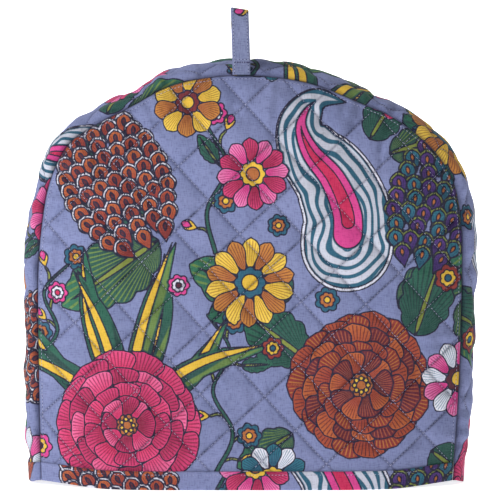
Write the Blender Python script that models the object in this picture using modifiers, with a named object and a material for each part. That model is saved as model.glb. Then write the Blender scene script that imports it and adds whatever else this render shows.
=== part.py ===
"""Quilted tea cosy: two arched panels, a padded gusset between them, bound hems and a hanging loop.

The cosy stands on its hem, open below. X is its width, Y its depth with the front at -Y, Z up.
Each quilted piece is cut flat, padded with Solidify and then bent to the form in which it stands.
All sizes are in metres.
"""
import math

import bmesh
import bpy
import numpy as np
from mathutils import Matrix, Vector
from mathutils.geometry import delaunay_2d_cdt

# Seam between the front panel and the gusset, seen from the front, from the left hem over the crown
# to the right hem. Columns: x, z. The shoulders are uneven, as on the sewn cosy.
SEAM_POINTS = (
    (-0.1490, 0.0043),
    (-0.1504, 0.0700),
    (-0.1509, 0.1450),
    (-0.1480, 0.1850),
    (-0.1418, 0.2170),
    (-0.1280, 0.2432),
    (-0.1075, 0.2570),
    (-0.0835, 0.2695),
    (-0.0525, 0.2850),
    (-0.0080, 0.2912),
    (0.0400, 0.2860),
    (0.0780, 0.2714),
    (0.1000, 0.2620),
    (0.1232, 0.2448),
    (0.1390, 0.2262),
    (0.1465, 0.2070),
    (0.1502, 0.1780),
    (0.1504, 0.1400),
    (0.1487, 0.0750),
    (0.1444, 0.0043),
)
SEAM_SMOOTHING = 12
SEAM_STEP = 0.0085

# Cloth and wadding
CELL_STEPS = 3
CELL_CLEARANCE = 0.38  # share of a net step that the net's points keep from an outline
QUILT_PITCH = 0.0320
STITCHED_THICKNESS = 0.0022
PUFF_OUT = 0.0030
PUFF_IN = 0.0012
PRESSED_AT_SEAM = 0.0110
PRESSED_AT_HEM = 0.0150
GAP = 0.0003

# Panels. The quilting of the front leans a little, because the cloth was cut off the straight.
GUSSET_DEPTH = 0.0900
PANEL_BULGE_TOP = 0.0230
PANEL_BULGE_HEM = 0.0300
BULGE_REACH = 0.0900
BULGE_POWER = 2.4
FRONT_QUILT_ORIGIN = (0.0615, 0.1995)
FRONT_QUILT_TURN = math.radians(42.5)
BACK_QUILT_ORIGIN = (0.0040, 0.1480)
BACK_QUILT_TURN = math.radians(45.0)

# Gusset. Its section is a superellipse that rises outward from the two seams.
RISE_AT_CROWN = 0.0098
RISE_AT_SIDES = 0.0102
RISE_POWER = 1.5
SECTION_POWER = 2.6
SECTION_SAMPLES = 240
SEAM_ROWS = (0.0040, 0.0100)
GUSSET_QUILT_TURN = math.radians(45.0)
GUSSET_QUILT_SHIFT = 0.0090
# Pinches where the sewn band is drawn in. Columns: share of the band's length, depth, half length.
PINCHES = (
    (0.130, 0.0008, 0.014),
    (0.272, 0.0018, 0.013),
    (0.330, 0.0014, 0.020),
    (0.395, 0.0028, 0.012),
    (0.455, 0.0006, 0.012),
    (0.560, 0.0012, 0.014),
    (0.624, 0.0024, 0.012),
    (0.690, 0.0006, 0.014),
    (0.832, 0.0010, 0.012),
)

# Hem. The corners lift a little off the table, and the rest of the hem lies flat on it.
CORNER_LIFT = 0.0030
LIFT_START = 0.0950
LIFT_REACH = 0.0550
LIFT_ALONG_GUSSET = 0.0300
LIFT_SPREAD = 4  # the higher, the flatter the gusset's ends are across their middle
BINDING_HEIGHT = 0.0120
BINDING_WALL = 0.0010
HEM_EDGE = GAP + BINDING_WALL
BINDING_MARGIN = 0.0015
HEM_STATIONS = 34
# Section of a binding, from its outer top edge under the cloth to its inner top edge.
# Columns: side of the cloth (1 outside, -1 inside), share of the binding's height.
BINDING_SECTION = ((1, 1.0), (1, 0.5), (1, 0.0), (-1, 0.0), (-1, 0.5), (-1, 1.0))

# Hanging loop
LOOP_X = -0.0068
LOOP_WIDTH = 0.0127
LOOP_STRIP = 0.0013
LOOP_GAP = 0.0080
LOOP_WIDEST = 1.25  # 1 puts the widest part of the gap half way up, and more puts it higher
LOOP_FULLNESS = 0.7
LOOP_ROOT = 0.0085
LOOP_TOP = 0.3388
LOOP_SLANT = 0.16
LOOP_STEPS = 10
ROOT_DROP = 0.0018
LOOP_CLEARING = 0.0170
LOOP_CLEARING_CORE = 0.4  # share of the clearing that stays quite flat
MERGE_DISTANCE = 0.00001

# Colours of the printed cloth by node, linear. Columns: red, green, blue, roughness.
CLOTH = {
    "front_panel": (0.25, 0.26, 0.42, 0.90),
    "back_panel": (0.25, 0.26, 0.42, 0.90),
    "gusset": (0.30, 0.07, 0.08, 0.90),
    "binding_front": (0.22, 0.05, 0.12, 0.88),
    "binding_back": (0.22, 0.05, 0.12, 0.88),
    "binding_gusset_left": (0.24, 0.25, 0.40, 0.88),
    "hanging_loop": (0.20, 0.21, 0.34, 0.92),
}


def clear_scene():
    """Remove every object of the open scene."""
    for old in list(bpy.data.objects):
        bpy.data.objects.remove(old, do_unlink=True)


def through_points(points, steps=24):
    """A smooth line through the given points, as a dense array."""
    ends = np.vstack([2 * points[0] - points[1], points, 2 * points[-1] - points[-2]])
    share = np.linspace(0.0, 1.0, steps, endpoint=False)[:, None]
    runs = []
    for before, start, end, after in zip(ends[:-3], ends[1:-2], ends[2:-1], ends[3:]):
        bend = 2 * before - 5 * start + 4 * end - after
        turn = -before + 3 * start - 3 * end + after
        runs.append(start + 0.5 * share * (end - before + share * (bend + share * turn)))
    return np.vstack(runs + [points[-1:]])


def smoothed(line, rounds):
    """The same line with its small kinks averaged out and its ends held."""
    for _ in range(rounds):
        line[1:-1] = 0.5 * line[1:-1] + 0.25 * (line[:-2] + line[2:])
    return line


def along(line):
    """Distance along a line at each of its points."""
    steps = np.linalg.norm(np.diff(line, axis=0), axis=1)
    return np.concatenate([[0.0], np.cumsum(steps)])


def smooth_step(value):
    """A ramp from 0 to 1 with soft ends."""
    value = np.clip(value, 0.0, 1.0)
    return value * value * (3.0 - 2.0 * value)


class Seam:
    """The arched seam line, with a position and an outward direction at each distance along it."""

    def __init__(self):
        line = smoothed(through_points(np.array(SEAM_POINTS)), SEAM_SMOOTHING)
        distance = along(line)
        self.length = distance[-1]
        self.count = round(self.length / SEAM_STEP)
        self.stations = np.linspace(0.0, self.length, self.count + 1)
        self.line = self.resample(line, distance, self.stations)
        tangent = np.gradient(self.line, axis=0)
        tangent /= np.linalg.norm(tangent, axis=1)[:, None]
        self.outward = smoothed(np.stack([-tangent[:, 1], tangent[:, 0]], axis=1), 2)
        from_hem = np.minimum(self.stations, self.length - self.stations)
        self.outward[:, 1] *= 1.0 - np.exp(-from_hem / LIFT_ALONG_GUSSET)

    @staticmethod
    def resample(values, distance, wanted):
        return np.stack([np.interp(wanted, distance, column) for column in values.T], axis=1)

    def at(self, distance):
        """Position and outward direction at each of the given distances."""
        place = self.resample(self.line, self.stations, distance)
        outward = self.resample(self.outward, self.stations, distance)
        return place, outward / np.linalg.norm(outward, axis=1)[:, None]

    def inset(self, gap):
        """The seam line moved inward by a gap."""
        return self.line - gap * self.outward

    def distance_to(self, points):
        """Distance from each point to the seam."""
        start = self.line[:-1]
        run = self.line[1:] - start
        offset = points[:, None, :] - start[None]
        share = np.clip((offset * run).sum(-1) / (run * run).sum(-1), 0.0, 1.0)
        return np.linalg.norm(offset - share[..., None] * run, axis=-1).min(axis=1)

    def edge_x(self, side, height):
        """X of the seam near the hem, on the left (-1) or on the right (1)."""
        half = self.count // 3
        line = self.line[:half] if side < 0 else self.line[::-1][:half]
        return np.interp(height, line[:, 1], line[:, 0])


def hem_lift(x):
    """Height of the front or back hem above the table."""
    return CORNER_LIFT * smooth_step((np.abs(x) - LIFT_START) / LIFT_REACH)


def puff(points, origin, turn):
    """Height of the quilting at flat points: 0 on the stitch lines and 1 in a diamond's middle."""
    offset = points - np.array(origin)
    across = (offset[:, 0] * math.cos(turn) + offset[:, 1] * math.sin(turn)) / QUILT_PITCH
    up = (offset[:, 1] * math.cos(turn) - offset[:, 0] * math.sin(turn)) / QUILT_PITCH
    return np.sqrt(np.abs(np.sin(math.pi * across) * np.sin(math.pi * up)))


def quilt_points(low, high, origin, turn):
    """Points of a square net on the quilting lines and between them, over a flat rectangle."""
    step = QUILT_PITCH / CELL_STEPS
    reach = math.ceil(math.dist(low, high) / step)
    net = np.arange(-reach, reach + 1) * step
    across, up = (grid.ravel() for grid in np.meshgrid(net, net))
    x = origin[0] + across * math.cos(turn) - up * math.sin(turn)
    y = origin[1] + across * math.sin(turn) + up * math.cos(turn)
    inside = (x > low[0]) & (x < high[0]) & (y > low[1]) & (y < high[1])
    return np.stack([x[inside], y[inside]], axis=1)


def distance_inside(points, outline):
    """How far each point lies inside a closed outline; negative outside it."""
    start = outline
    end = np.roll(outline, -1, axis=0)
    run = end - start
    offset = points[:, None, :] - start[None]
    share = np.clip((offset * run).sum(-1) / (run * run).sum(-1), 0.0, 1.0)
    distance = np.linalg.norm(offset - share[..., None] * run, axis=-1).min(axis=1)
    above = (start[None, :, 1] > points[:, None, 1]) != (end[None, :, 1] > points[:, None, 1])
    slope = np.where(np.abs(run[:, 1]) < 1e-12, 1e-12, run[:, 1])
    crossing = start[:, 0] + run[:, 0] * (points[:, None, 1] - start[:, 1]) / slope
    odd = ((above & (points[:, None, 0] < crossing)).sum(axis=1) % 2) == 1
    return np.where(odd, distance, -distance)


def cut_flat(name, outline, rows, quilted, origin, turn):
    """A flat piece of cloth inside an outline, with points along its quilting lines.

    The quilting keeps to the quilted outline, which leaves out the plain stretches at the hem.
    Rows are further points, in the plain stretches.
    """
    net = quilt_points(quilted.min(axis=0), quilted.max(axis=0), origin, turn)
    clearance = CELL_CLEARANCE * QUILT_PITCH / CELL_STEPS
    net = net[distance_inside(net, quilted) > clearance]
    inner_border = quilted[distance_inside(quilted, outline) > clearance]
    points = [Vector(point) for point in np.vstack([outline, rows, inner_border, net])]
    border = list(range(len(outline)))
    inside_only = 1
    found, _, faces, *_ = delaunay_2d_cdt(points, [], [border], inside_only, 1e-7)
    mesh = bpy.data.meshes.new(name)
    mesh.from_pydata([(x, y, 0.0) for x, y in found], [], [list(face) for face in faces])
    return mesh


def bent(name, flat, form):
    """Pad a flat mesh to a closed unit thickness and move its points by form(points, skin).

    The skin is 0 on the outer side of the cloth and 1 on its inner side.
    """
    piece = bpy.data.objects.new(name, flat)
    bpy.context.scene.collection.objects.link(piece)
    padding = piece.modifiers.new("padding", "SOLIDIFY")
    padding.thickness = 1.0
    padding.offset = -1.0
    bpy.context.view_layer.update()
    graph = bpy.context.evaluated_depsgraph_get()
    mesh = bpy.data.meshes.new_from_object(piece.evaluated_get(graph))
    bpy.data.objects.remove(piece, do_unlink=True)
    places = np.empty(len(mesh.vertices) * 3)
    mesh.vertices.foreach_get("co", places)
    places = places.reshape(-1, 3)
    skin = (np.abs(places[:, 2]) > 0.5).astype(float)
    mesh.vertices.foreach_set("co", form(places[:, :2], skin).ravel())
    return finished(name, mesh)


def finished(name, mesh):
    """An object in the cosy's collection, with faces outward, soft shading and its own cloth."""
    work = bmesh.new()
    work.from_mesh(mesh)
    if work.calc_volume(signed=True) < 0.0:
        bmesh.ops.reverse_faces(work, faces=work.faces)
    work.to_mesh(mesh)
    work.free()
    mesh.name = name
    mesh.shade_smooth()
    piece = bpy.data.objects.new(name, mesh)
    bpy.data.collections["tea_cosy"].objects.link(piece)
    mesh.materials.clear()
    mesh.materials.append(cloth_material(name))
    return piece


def cloth_material(name):
    """Plain printed cloth in the node's main colour."""
    red, green, blue, roughness = CLOTH[name]
    cloth = bpy.data.materials.new(name + "_cloth")
    cloth.use_nodes = True
    shader = cloth.node_tree.nodes["Principled BSDF"]
    shader.inputs["Base Color"].default_value = (red, green, blue, 1.0)
    shader.inputs["Roughness"].default_value = roughness
    shader.inputs["Metallic"].default_value = 0.0
    cloth.diffuse_color = (red, green, blue, 1.0)
    return cloth


def panel_depth(seam, points, quilting):
    """Distance of a panel's outer and inner faces from the cosy's middle plane."""
    from_seam = seam.distance_to(points)
    height = points[:, 1]
    fullness = np.interp(height, [0.0, seam.line[:, 1].max()], [PANEL_BULGE_HEM, PANEL_BULGE_TOP])
    closeness = 1.0 - np.clip(from_seam / BULGE_REACH, 0.0, 1.0)
    bulge = fullness * (1.0 - closeness ** BULGE_POWER)
    pressed = smooth_step(from_seam / PRESSED_AT_SEAM)
    above_binding = height - hem_lift(points[:, 0]) - HEM_EDGE - BINDING_HEIGHT - BINDING_MARGIN
    pressed = pressed * smooth_step(above_binding / PRESSED_AT_HEM)
    origin, turn = quilting
    raised = pressed * puff(points, origin, turn)
    outer = GUSSET_DEPTH / 2 + bulge + PUFF_OUT * raised
    inner = GUSSET_DEPTH / 2 + bulge - STITCHED_THICKNESS - PUFF_IN * raised
    return outer, inner


def make_panel(name, seam, side, quilting):
    """An arched quilted panel; side is -1 for the front and 1 for the back."""
    arch = seam.inset(GAP)
    hem_x = np.linspace(arch[-1, 0], arch[0, 0], HEM_STATIONS + 1)[1:-1]
    hem = np.stack([hem_x, HEM_EDGE + hem_lift(hem_x)], axis=1)
    outline = np.vstack([arch, hem])
    hem_top = hem + (0.0, BINDING_HEIGHT + BINDING_MARGIN)
    quilted = np.vstack([arch[arch[:, 1] > hem_top[0, 1]], hem_top])
    flat = cut_flat(name, outline, np.empty((0, 2)), quilted, *quilting)

    def form(points, skin):
        outer, inner = panel_depth(seam, points, quilting)
        depth = np.where(skin > 0.5, inner, outer)
        return np.stack([points[:, 0], side * depth, points[:, 1]], axis=1)

    return bent(name, flat, form)


class Section:
    """The gusset's section from the front seam (-90 degrees) over its crest to the back seam."""

    def __init__(self):
        self.angle = np.linspace(-math.pi / 2, math.pi / 2, SECTION_SAMPLES + 1)
        rise, depth = self.point(self.angle, RISE_AT_SIDES, GUSSET_DEPTH / 2)
        self.run = along(np.stack([rise, depth], axis=1))
        self.width = self.run[-1]
        near, clear = SEAM_ROWS
        steps = round((self.width - 2 * clear) / SEAM_STEP)
        middle = np.linspace(clear, self.width - clear, steps + 1)
        self.rows = np.concatenate([[0.0, near], middle, [self.width - near, self.width]])

    @staticmethod
    def point(angle, rise, half_depth):
        """Height above the seam line and depth of a point of the section."""
        power = 2.0 / SECTION_POWER
        up = np.clip(np.cos(angle), 0.0, 1.0) ** power
        sideways = np.sign(np.sin(angle)) * np.abs(np.sin(angle)) ** power
        return rise * up, half_depth * sideways

    def angle_at(self, across):
        return np.interp(across, self.run, self.angle)


def gusset_rise(seam, distance):
    """How far the gusset's crest stands out from the seam line."""
    _, outward = seam.at(distance)
    sideways = np.abs(outward[:, 0]) ** RISE_POWER
    rise = RISE_AT_CROWN + (RISE_AT_SIDES - RISE_AT_CROWN) * sideways
    for share, depth, half_length in PINCHES:
        rise = rise - depth * np.exp(-((distance - share * seam.length) / half_length) ** 2)
    return rise


def gusset_place(seam, distance, angle, grow):
    """A point of the gusset; grow moves it outward from the outer face, or inward if negative."""
    crest = gusset_rise(seam, distance) + grow
    rise, depth = Section.point(angle, crest, GUSSET_DEPTH / 2 + grow)
    place, outward = seam.at(distance)
    x, z = (place + rise[:, None] * outward).T
    middle = 1.0 - np.sin(angle) ** LIFT_SPREAD
    left = np.exp(-distance / LIFT_ALONG_GUSSET)
    right = np.exp(-(seam.length - distance) / LIFT_ALONG_GUSSET)
    z = z - CORNER_LIFT * middle * (left + right) - HEM_EDGE * right
    return np.stack([x, depth, z], axis=1)


def make_gusset(seam):
    """The quilted band between the two panels."""
    section = Section()
    across = section.rows[1:-1]
    front = np.stack([seam.stations, np.zeros(seam.count + 1)], axis=1)
    back = np.stack([seam.stations[::-1], np.full(seam.count + 1, section.width)], axis=1)
    right = np.stack([np.full(len(across), seam.length), across], axis=1)
    left = np.stack([np.zeros(len(across)), across[::-1]], axis=1)
    outline = np.vstack([front, right, back, left])
    plain = BINDING_HEIGHT + BINDING_MARGIN
    sewn = front[(front[:, 0] > plain) & (front[:, 0] < seam.length - plain)]
    near, clear = SEAM_ROWS
    rows = np.vstack([front[1:-1] + (0.0, near), back[1:-1] - (0.0, near)])
    quilted = np.vstack([
        sewn + (0.0, clear),
        right[1:-1] - (plain, 0.0),
        sewn[::-1] + (0.0, section.width - clear),
        left[1:-1] + (plain, 0.0),
    ])
    origin = (seam.length / 2 + GUSSET_QUILT_SHIFT, section.width / 2)
    flat = cut_flat("gusset", outline, rows, quilted, origin, GUSSET_QUILT_TURN)
    crown = seam.stations[np.argmin(np.abs(seam.line[:, 0] - LOOP_X))]

    def form(points, skin):
        distance, across = points.T
        from_seam = np.minimum(across, section.width - across)
        pressed = smooth_step(from_seam / PRESSED_AT_SEAM)
        from_end = np.minimum(distance, seam.length - distance)
        pressed = pressed * smooth_step((from_end - plain) / PRESSED_AT_HEM)
        beside_loop = np.hypot(distance - crown, across) / LOOP_CLEARING
        pressed = pressed * smooth_step(beside_loop - LOOP_CLEARING_CORE)
        raised = pressed * puff(points, origin, GUSSET_QUILT_TURN)
        inward = -STITCHED_THICKNESS - PUFF_IN * raised
        grow = np.where(skin > 0.5, inward, PUFF_OUT * raised)
        return gusset_place(seam, distance, section.angle_at(across), grow)

    return bent("gusset", flat, form)


def strip_mesh(name, stations):
    """A flat grid for a folded strip: stations along it, one row for each point of its section."""
    mesh = bpy.data.meshes.new(name)
    work = bmesh.new()
    rows = len(BINDING_SECTION)
    bmesh.ops.create_grid(work, x_segments=stations, y_segments=rows - 1, size=1.0)
    work.to_mesh(mesh)
    work.free()
    return mesh


def strip_rows(points):
    """For each point of the flat strip: its place along it, its side and its share of the height."""
    rows = np.array(BINDING_SECTION)
    row = np.rint((points[:, 1] + 1.0) / 2.0 * (len(rows) - 1)).astype(int)
    return (points[:, 0] + 1.0) / 2.0, rows[row, 0], rows[row, 1]


def make_panel_binding(name, seam, side, quilting):
    """A strip folded over a panel's bottom edge."""

    def form(points, skin):
        share, face, height = strip_rows(points)
        away = GAP + BINDING_WALL * (1.0 - skin)
        level = height * BINDING_HEIGHT
        left = seam.edge_x(-1, level) + GAP
        right = seam.edge_x(1, level) - GAP
        x = left + share * (right - left)
        edge = HEM_EDGE + hem_lift(x)
        z = edge + np.where(height > 0.0, level, -away)
        outer, inner = panel_depth(seam, np.stack([x, np.maximum(z, edge)], axis=1), quilting)
        depth = np.where(face > 0, outer + away, inner - away)
        return np.stack([x, side * depth, z], axis=1)

    return bent(name, strip_mesh(name, HEM_STATIONS), form)


def make_gusset_binding(seam):
    """The strip folded over the gusset's left end."""
    section = Section()

    def form(points, skin):
        share, face, height = strip_rows(points)
        away = GAP + BINDING_WALL * (1.0 - skin)
        row = np.rint(share * (len(section.rows) - 1)).astype(int)
        angle = section.angle_at(section.rows[row])
        grow = np.where(face > 0, away, -STITCHED_THICKNESS - away)
        places = gusset_place(seam, height * BINDING_HEIGHT, angle, grow)
        places[:, 2] -= np.where(height > 0.0, 0.0, away)
        return places

    name = "binding_gusset_left"
    return bent(name, strip_mesh(name, len(section.rows) - 1), form)


def make_loop(seam):
    """The hanging loop: a folded strip that opens above its root in the front seam."""
    nearest = np.argmin(np.abs(seam.line[:, 0] - LOOP_X))
    seam_z = seam.line[nearest, 1]
    back = -GUSSET_DEPTH / 2 - GAP
    middle = back - LOOP_STRIP
    bottom = seam_z + LOOP_ROOT
    top = LOOP_TOP - LOOP_STRIP
    share = np.linspace(0.0, 1.0, LOOP_STEPS + 1)
    height = bottom + share * (top - bottom)
    bow = np.sin(math.pi * share[1:-1] ** LOOP_WIDEST) ** LOOP_FULLNESS
    opening = np.concatenate([[0.0], 0.5 * LOOP_GAP * bow, [0.0]])
    hole = [(middle - gap, z) for gap, z in zip(opening, height)]
    hole += [(middle + gap, z) for gap, z in zip(opening[-2:0:-1], height[-2:0:-1])]
    outer_gap = opening + LOOP_STRIP
    outer_gap[-1] = 0.5 * LOOP_STRIP
    outer_z = height + np.where(share < 1.0, 0.0, LOOP_STRIP)
    outer = [(middle - gap, z) for gap, z in zip(outer_gap, outer_z)]
    outer += [(middle + gap, z) for gap, z in zip(outer_gap[::-1], outer_z[::-1])]
    outer += [(back, seam_z + GAP), (back - 2 * LOOP_STRIP, seam_z + GAP - ROOT_DROP)]

    drawing = bpy.data.curves.new("hanging_loop", "CURVE")
    drawing.dimensions = "2D"
    drawing.fill_mode = "BOTH"
    drawing.extrude = LOOP_WIDTH / 2
    for contour in (outer, hole):
        spline = drawing.splines.new("POLY")
        spline.points.add(len(contour) - 1)
        for point, (y, z) in zip(spline.points, contour):
            point.co = (y, z, 0.0, 1.0)
        spline.use_cyclic_u = True
    sketch = bpy.data.objects.new("loop_sketch", drawing)
    bpy.context.scene.collection.objects.link(sketch)
    bpy.context.view_layer.update()
    graph = bpy.context.evaluated_depsgraph_get()
    mesh = bpy.data.meshes.new_from_object(sketch.evaluated_get(graph))
    bpy.data.objects.remove(sketch, do_unlink=True)
    work = bmesh.new()
    work.from_mesh(mesh)
    bmesh.ops.remove_doubles(work, verts=work.verts, dist=MERGE_DISTANCE)
    for vertex in work.verts:
        y, z, across = vertex.co
        up = max(0.0, (z - bottom) / (top - bottom))
        vertex.co = (LOOP_X + across, y, z - LOOP_SLANT * across * up)
    work.to_mesh(mesh)
    work.free()
    return finished("hanging_loop", mesh)


def stand_on_origin(pieces):
    """Move the cosy so that its box stands centred on the origin."""
    corners = np.vstack([[vertex.co for vertex in piece.data.vertices] for piece in pieces])
    low = corners.min(axis=0)
    high = corners.max(axis=0)
    shift = Matrix.Translation((-(low[0] + high[0]) / 2, -(low[1] + high[1]) / 2, -low[2]))
    for piece in pieces:
        piece.data.transform(shift)


def main():
    clear_scene()
    cosy = bpy.data.collections.new("tea_cosy")
    bpy.context.scene.collection.children.link(cosy)
    seam = Seam()
    front_quilting = (FRONT_QUILT_ORIGIN, FRONT_QUILT_TURN)
    back_quilting = (BACK_QUILT_ORIGIN, BACK_QUILT_TURN)
    stand_on_origin([
        make_panel("front_panel", seam, -1, front_quilting),
        make_panel("back_panel", seam, 1, back_quilting),
        make_gusset(seam),
        make_panel_binding("binding_front", seam, -1, front_quilting),
        make_panel_binding("binding_back", seam, 1, back_quilting),
        make_gusset_binding(seam),
        make_loop(seam),
    ])


main()
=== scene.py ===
# %% [markdown]
# # A quilted tea cosy
# The real cover is cut from one printed cotton that was quilted in diamonds: two arched panels, a padded
# band between them, strips folded over the hem, and a small hanging loop. This lesson dresses the packed
# solids with fine meshes that follow the same seams. Every piece lies where its solid lies, so the first
# step loads those solids as a fixed frame and notes their box.

import math

import bpy
import numpy as np
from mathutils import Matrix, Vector
from mathutils.geometry import delaunay_2d_cdt


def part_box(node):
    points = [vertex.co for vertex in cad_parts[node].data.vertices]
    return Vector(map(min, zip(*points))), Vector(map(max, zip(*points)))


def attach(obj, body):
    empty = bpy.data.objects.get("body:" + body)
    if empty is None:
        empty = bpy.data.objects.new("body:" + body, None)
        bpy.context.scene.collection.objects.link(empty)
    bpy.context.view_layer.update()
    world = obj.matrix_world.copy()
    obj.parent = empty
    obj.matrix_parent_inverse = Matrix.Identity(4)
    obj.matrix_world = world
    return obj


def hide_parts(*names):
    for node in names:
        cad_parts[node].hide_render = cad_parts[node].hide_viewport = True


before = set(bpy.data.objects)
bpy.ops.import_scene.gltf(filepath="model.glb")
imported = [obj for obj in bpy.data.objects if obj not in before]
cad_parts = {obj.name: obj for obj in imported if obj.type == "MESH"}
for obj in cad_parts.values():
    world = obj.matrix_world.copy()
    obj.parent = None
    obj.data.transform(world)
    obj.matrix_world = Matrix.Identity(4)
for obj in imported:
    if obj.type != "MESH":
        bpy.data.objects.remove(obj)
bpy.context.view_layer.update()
MM = 0.001

# %% [markdown]
# ## The seam line
# Everything hangs on one line: the arched seam where the front panel meets the gusset. The solids hold it,
# as the foremost edge of the gusset, so it is read from there and not typed in again. Its corners are
# sorted by their bearing, and a smooth curve is drawn through them at a step fine enough for cloth.

# %% Lines as arrays of points
def vertices_of(mesh):
    """The places of a mesh's vertices as an array."""
    places = np.empty(len(mesh.vertices) * 3)
    mesh.vertices.foreach_get("co", places)
    return places.reshape(-1, 3)


def along(line):
    """Distance along a line at each of its points."""
    return np.concatenate([[0.0], np.cumsum(np.linalg.norm(np.diff(line, axis=0), axis=1))])


def columns(*parts):
    """Arrays as the columns of one table."""
    return np.stack(parts, axis=1)


def resampled(values, distance, wanted):
    """Columns of values read at the wanted distances."""
    return columns(*(np.interp(wanted, distance, column) for column in values.T))


def smooth_step(value):
    """A ramp from 0 to 1 with soft ends."""
    value = np.clip(value, 0.0, 1.0)
    return value * value * (3.0 - 2.0 * value)


def turned(points, angle):
    """Flat points turned about the origin."""
    cosine, sine = math.cos(angle), math.sin(angle)
    return points @ np.array([[cosine, sine], [-sine, cosine]])


def through_points(points, steps):
    """A smooth line through the given points."""
    ends = np.vstack([2 * points[0] - points[1], points, 2 * points[-1] - points[-2]])
    share = np.linspace(0.0, 1.0, steps, endpoint=False)[:, None]
    runs = []
    for before, start, end, after in zip(ends[:-3], ends[1:-2], ends[2:-1], ends[3:]):
        bend = 2 * before - 5 * start + 4 * end - after
        turn = -before + 3 * start - 3 * end + after
        runs.append(start + 0.5 * share * (end - before + share * (bend + share * turn)))
    return np.vstack(runs + [points[-1:]])


print("a soft ramp at its quarters:", smooth_step(np.linspace(0, 1, 5)).round(2))

# %% [markdown]
# One class holds the finished line. It knows which way is outward along it and how far a flat point lies
# from it. The gusset's right end is turned under and reaches lower than the panels' edges, so the line is
# raised there by the thickness of a folded strip and its gap.

# %% The seam as a smooth line
FINE = 1.14 * MM
COARSE = 3
SMOOTHING = 8
AT_A_TIME = 8000
BEARING_HEIGHT = 100 * MM
LIFT_ALONG_GUSSET = 30 * MM
GAP = 0.3 * MM
BINDING_WALL = 1.0 * MM
HEM_EDGE = GAP + BINDING_WALL


class Seam:
    """The arched seam line, with a position and an outward direction at each distance along it."""

    def __init__(self, corners):
        dense = through_points(corners, SMOOTHING)
        run = along(dense)
        self.length = run[-1]
        self.stations = np.linspace(0.0, self.length, round(self.length / FINE) + 1)
        self.line = resampled(dense, run, self.stations)
        self.line[:, 1] += HEM_EDGE * np.exp((self.stations - self.length) / LIFT_ALONG_GUSSET)
        self.top = self.line[:, 1].max()
        tangent = np.gradient(self.line, axis=0)
        tangent /= np.linalg.norm(tangent, axis=1)[:, None]
        outward = columns(-tangent[:, 1], tangent[:, 0])
        from_hem = np.minimum(self.stations, self.length - self.stations)
        outward[:, 1] *= 1.0 - np.exp(-from_hem / LIFT_ALONG_GUSSET)
        self.outward = outward
        self.coarse = self.line[::COARSE]

    def at(self, distance):
        """Position and outward direction at each of the given distances."""
        place = resampled(self.line, self.stations, distance)
        outward = resampled(self.outward, self.stations, distance)
        return place, outward / np.linalg.norm(outward, axis=1)[:, None]

    def nearest(self, points):
        """How far each point is from the seam, and how far along the seam its nearest point is."""
        start = self.coarse[:-1]
        run = self.coarse[1:] - start
        squared = (run * run).sum(axis=1)
        away, place = np.empty(len(points)), np.empty(len(points))
        for rows in np.array_split(np.arange(len(points)), len(points) // AT_A_TIME + 1):
            offset = points[rows, None, :] - start[None]
            share = np.clip((offset * run).sum(axis=-1) / squared, 0.0, 1.0)
            distance = np.linalg.norm(offset - share[..., None] * run, axis=-1)
            best = distance.argmin(axis=1)
            away[rows] = distance[np.arange(len(rows)), best]
            place[rows] = self.stations[::COARSE][best] + share[np.arange(len(rows)), best] * COARSE * FINE
        return away, place

    def edge_x(self, side, height):
        """X of the seam near the hem, on the left (-1) or on the right (1)."""
        half = len(self.line) // 3
        line = self.line[:half] if side < 0 else self.line[::-1][:half]
        return np.interp(height, line[:, 1], line[:, 0])


print("seam line: a point every", round(FINE / MM, 2), "mm")

# %% [markdown]
# The gusset's solid is foremost along its front edge, so its foremost corners are those of the seam.

# %% Read the seam from the gusset's front edge
EDGE_TOLERANCE = 0.1 * MM
gusset_places = vertices_of(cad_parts["gusset"].data)
foremost = gusset_places[:, 1] < gusset_places[:, 1].min() + EDGE_TOLERANCE
seam_corners = np.unique(np.round(gusset_places[foremost][:, [0, 2]], 6), axis=0)
bearing = np.arctan2(seam_corners[:, 0], seam_corners[:, 1] - BEARING_HEIGHT)
seam = Seam(seam_corners[np.argsort(bearing)])
half_depth = -gusset_places[:, 1].min()
print("seam:", len(seam_corners), "corners,", round(seam.length / MM), "mm long, top at",
      round(seam.top / MM, 1), "mm, half depth", round(half_depth / MM, 1), "mm")

# %% [markdown]
# ## Padded shells
# A quilted piece is two layers of cotton with wadding between them. Each one is cut flat first, as a maker
# would cut it: a border, and a net of points that lies along the quilting, so that the stitched lines fall
# on mesh edges and stay sharp. The net is fine on the outer side, which shows, and coarser on the inner
# side. A form then moves both sides to where they stand, and a rim joins them into one closed shell.

# %% Cut a piece flat
INNER_STEP = 3.0 * MM
NET_CLEARANCE = 0.55
MERGE = 1e-8


def net_of(low, high, origin, turn, step):
    """Points of a square net on the quilting lines and between them, over a flat rectangle."""
    reach = math.ceil(math.dist(low, high) / step)
    net = np.arange(-reach, reach + 1) * step
    across, up = (grid.ravel() for grid in np.meshgrid(net, net))
    x = origin[0] + across * math.cos(turn) - up * math.sin(turn)
    y = origin[1] + across * math.sin(turn) + up * math.cos(turn)
    inside = (x > low[0]) & (x < high[0]) & (y > low[1]) & (y < high[1])
    return columns(x[inside], y[inside])


def cut_flat(outline, net):
    """Triangles over a closed outline, with the net's points inside it. The outline comes first."""
    points = [Vector(point) for point in np.vstack([outline, net])]
    found, _, faces, *_ = delaunay_2d_cdt(points, [], [list(range(len(outline)))], 1, MERGE)
    found = np.array(found)
    assert np.abs(found[:len(outline)] - outline).max() < MERGE * 100, "the outline was reordered"
    return found, np.array(faces)


print("inner net:", round(INNER_STEP / MM, 1), "mm from point to point")

# %% [markdown]
# A finished piece is one mesh at the origin, with its place in its points. It also keeps numbers for each
# point, called attributes, which its material reads. A shell's volume is positive if its faces point
# outward.

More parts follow.
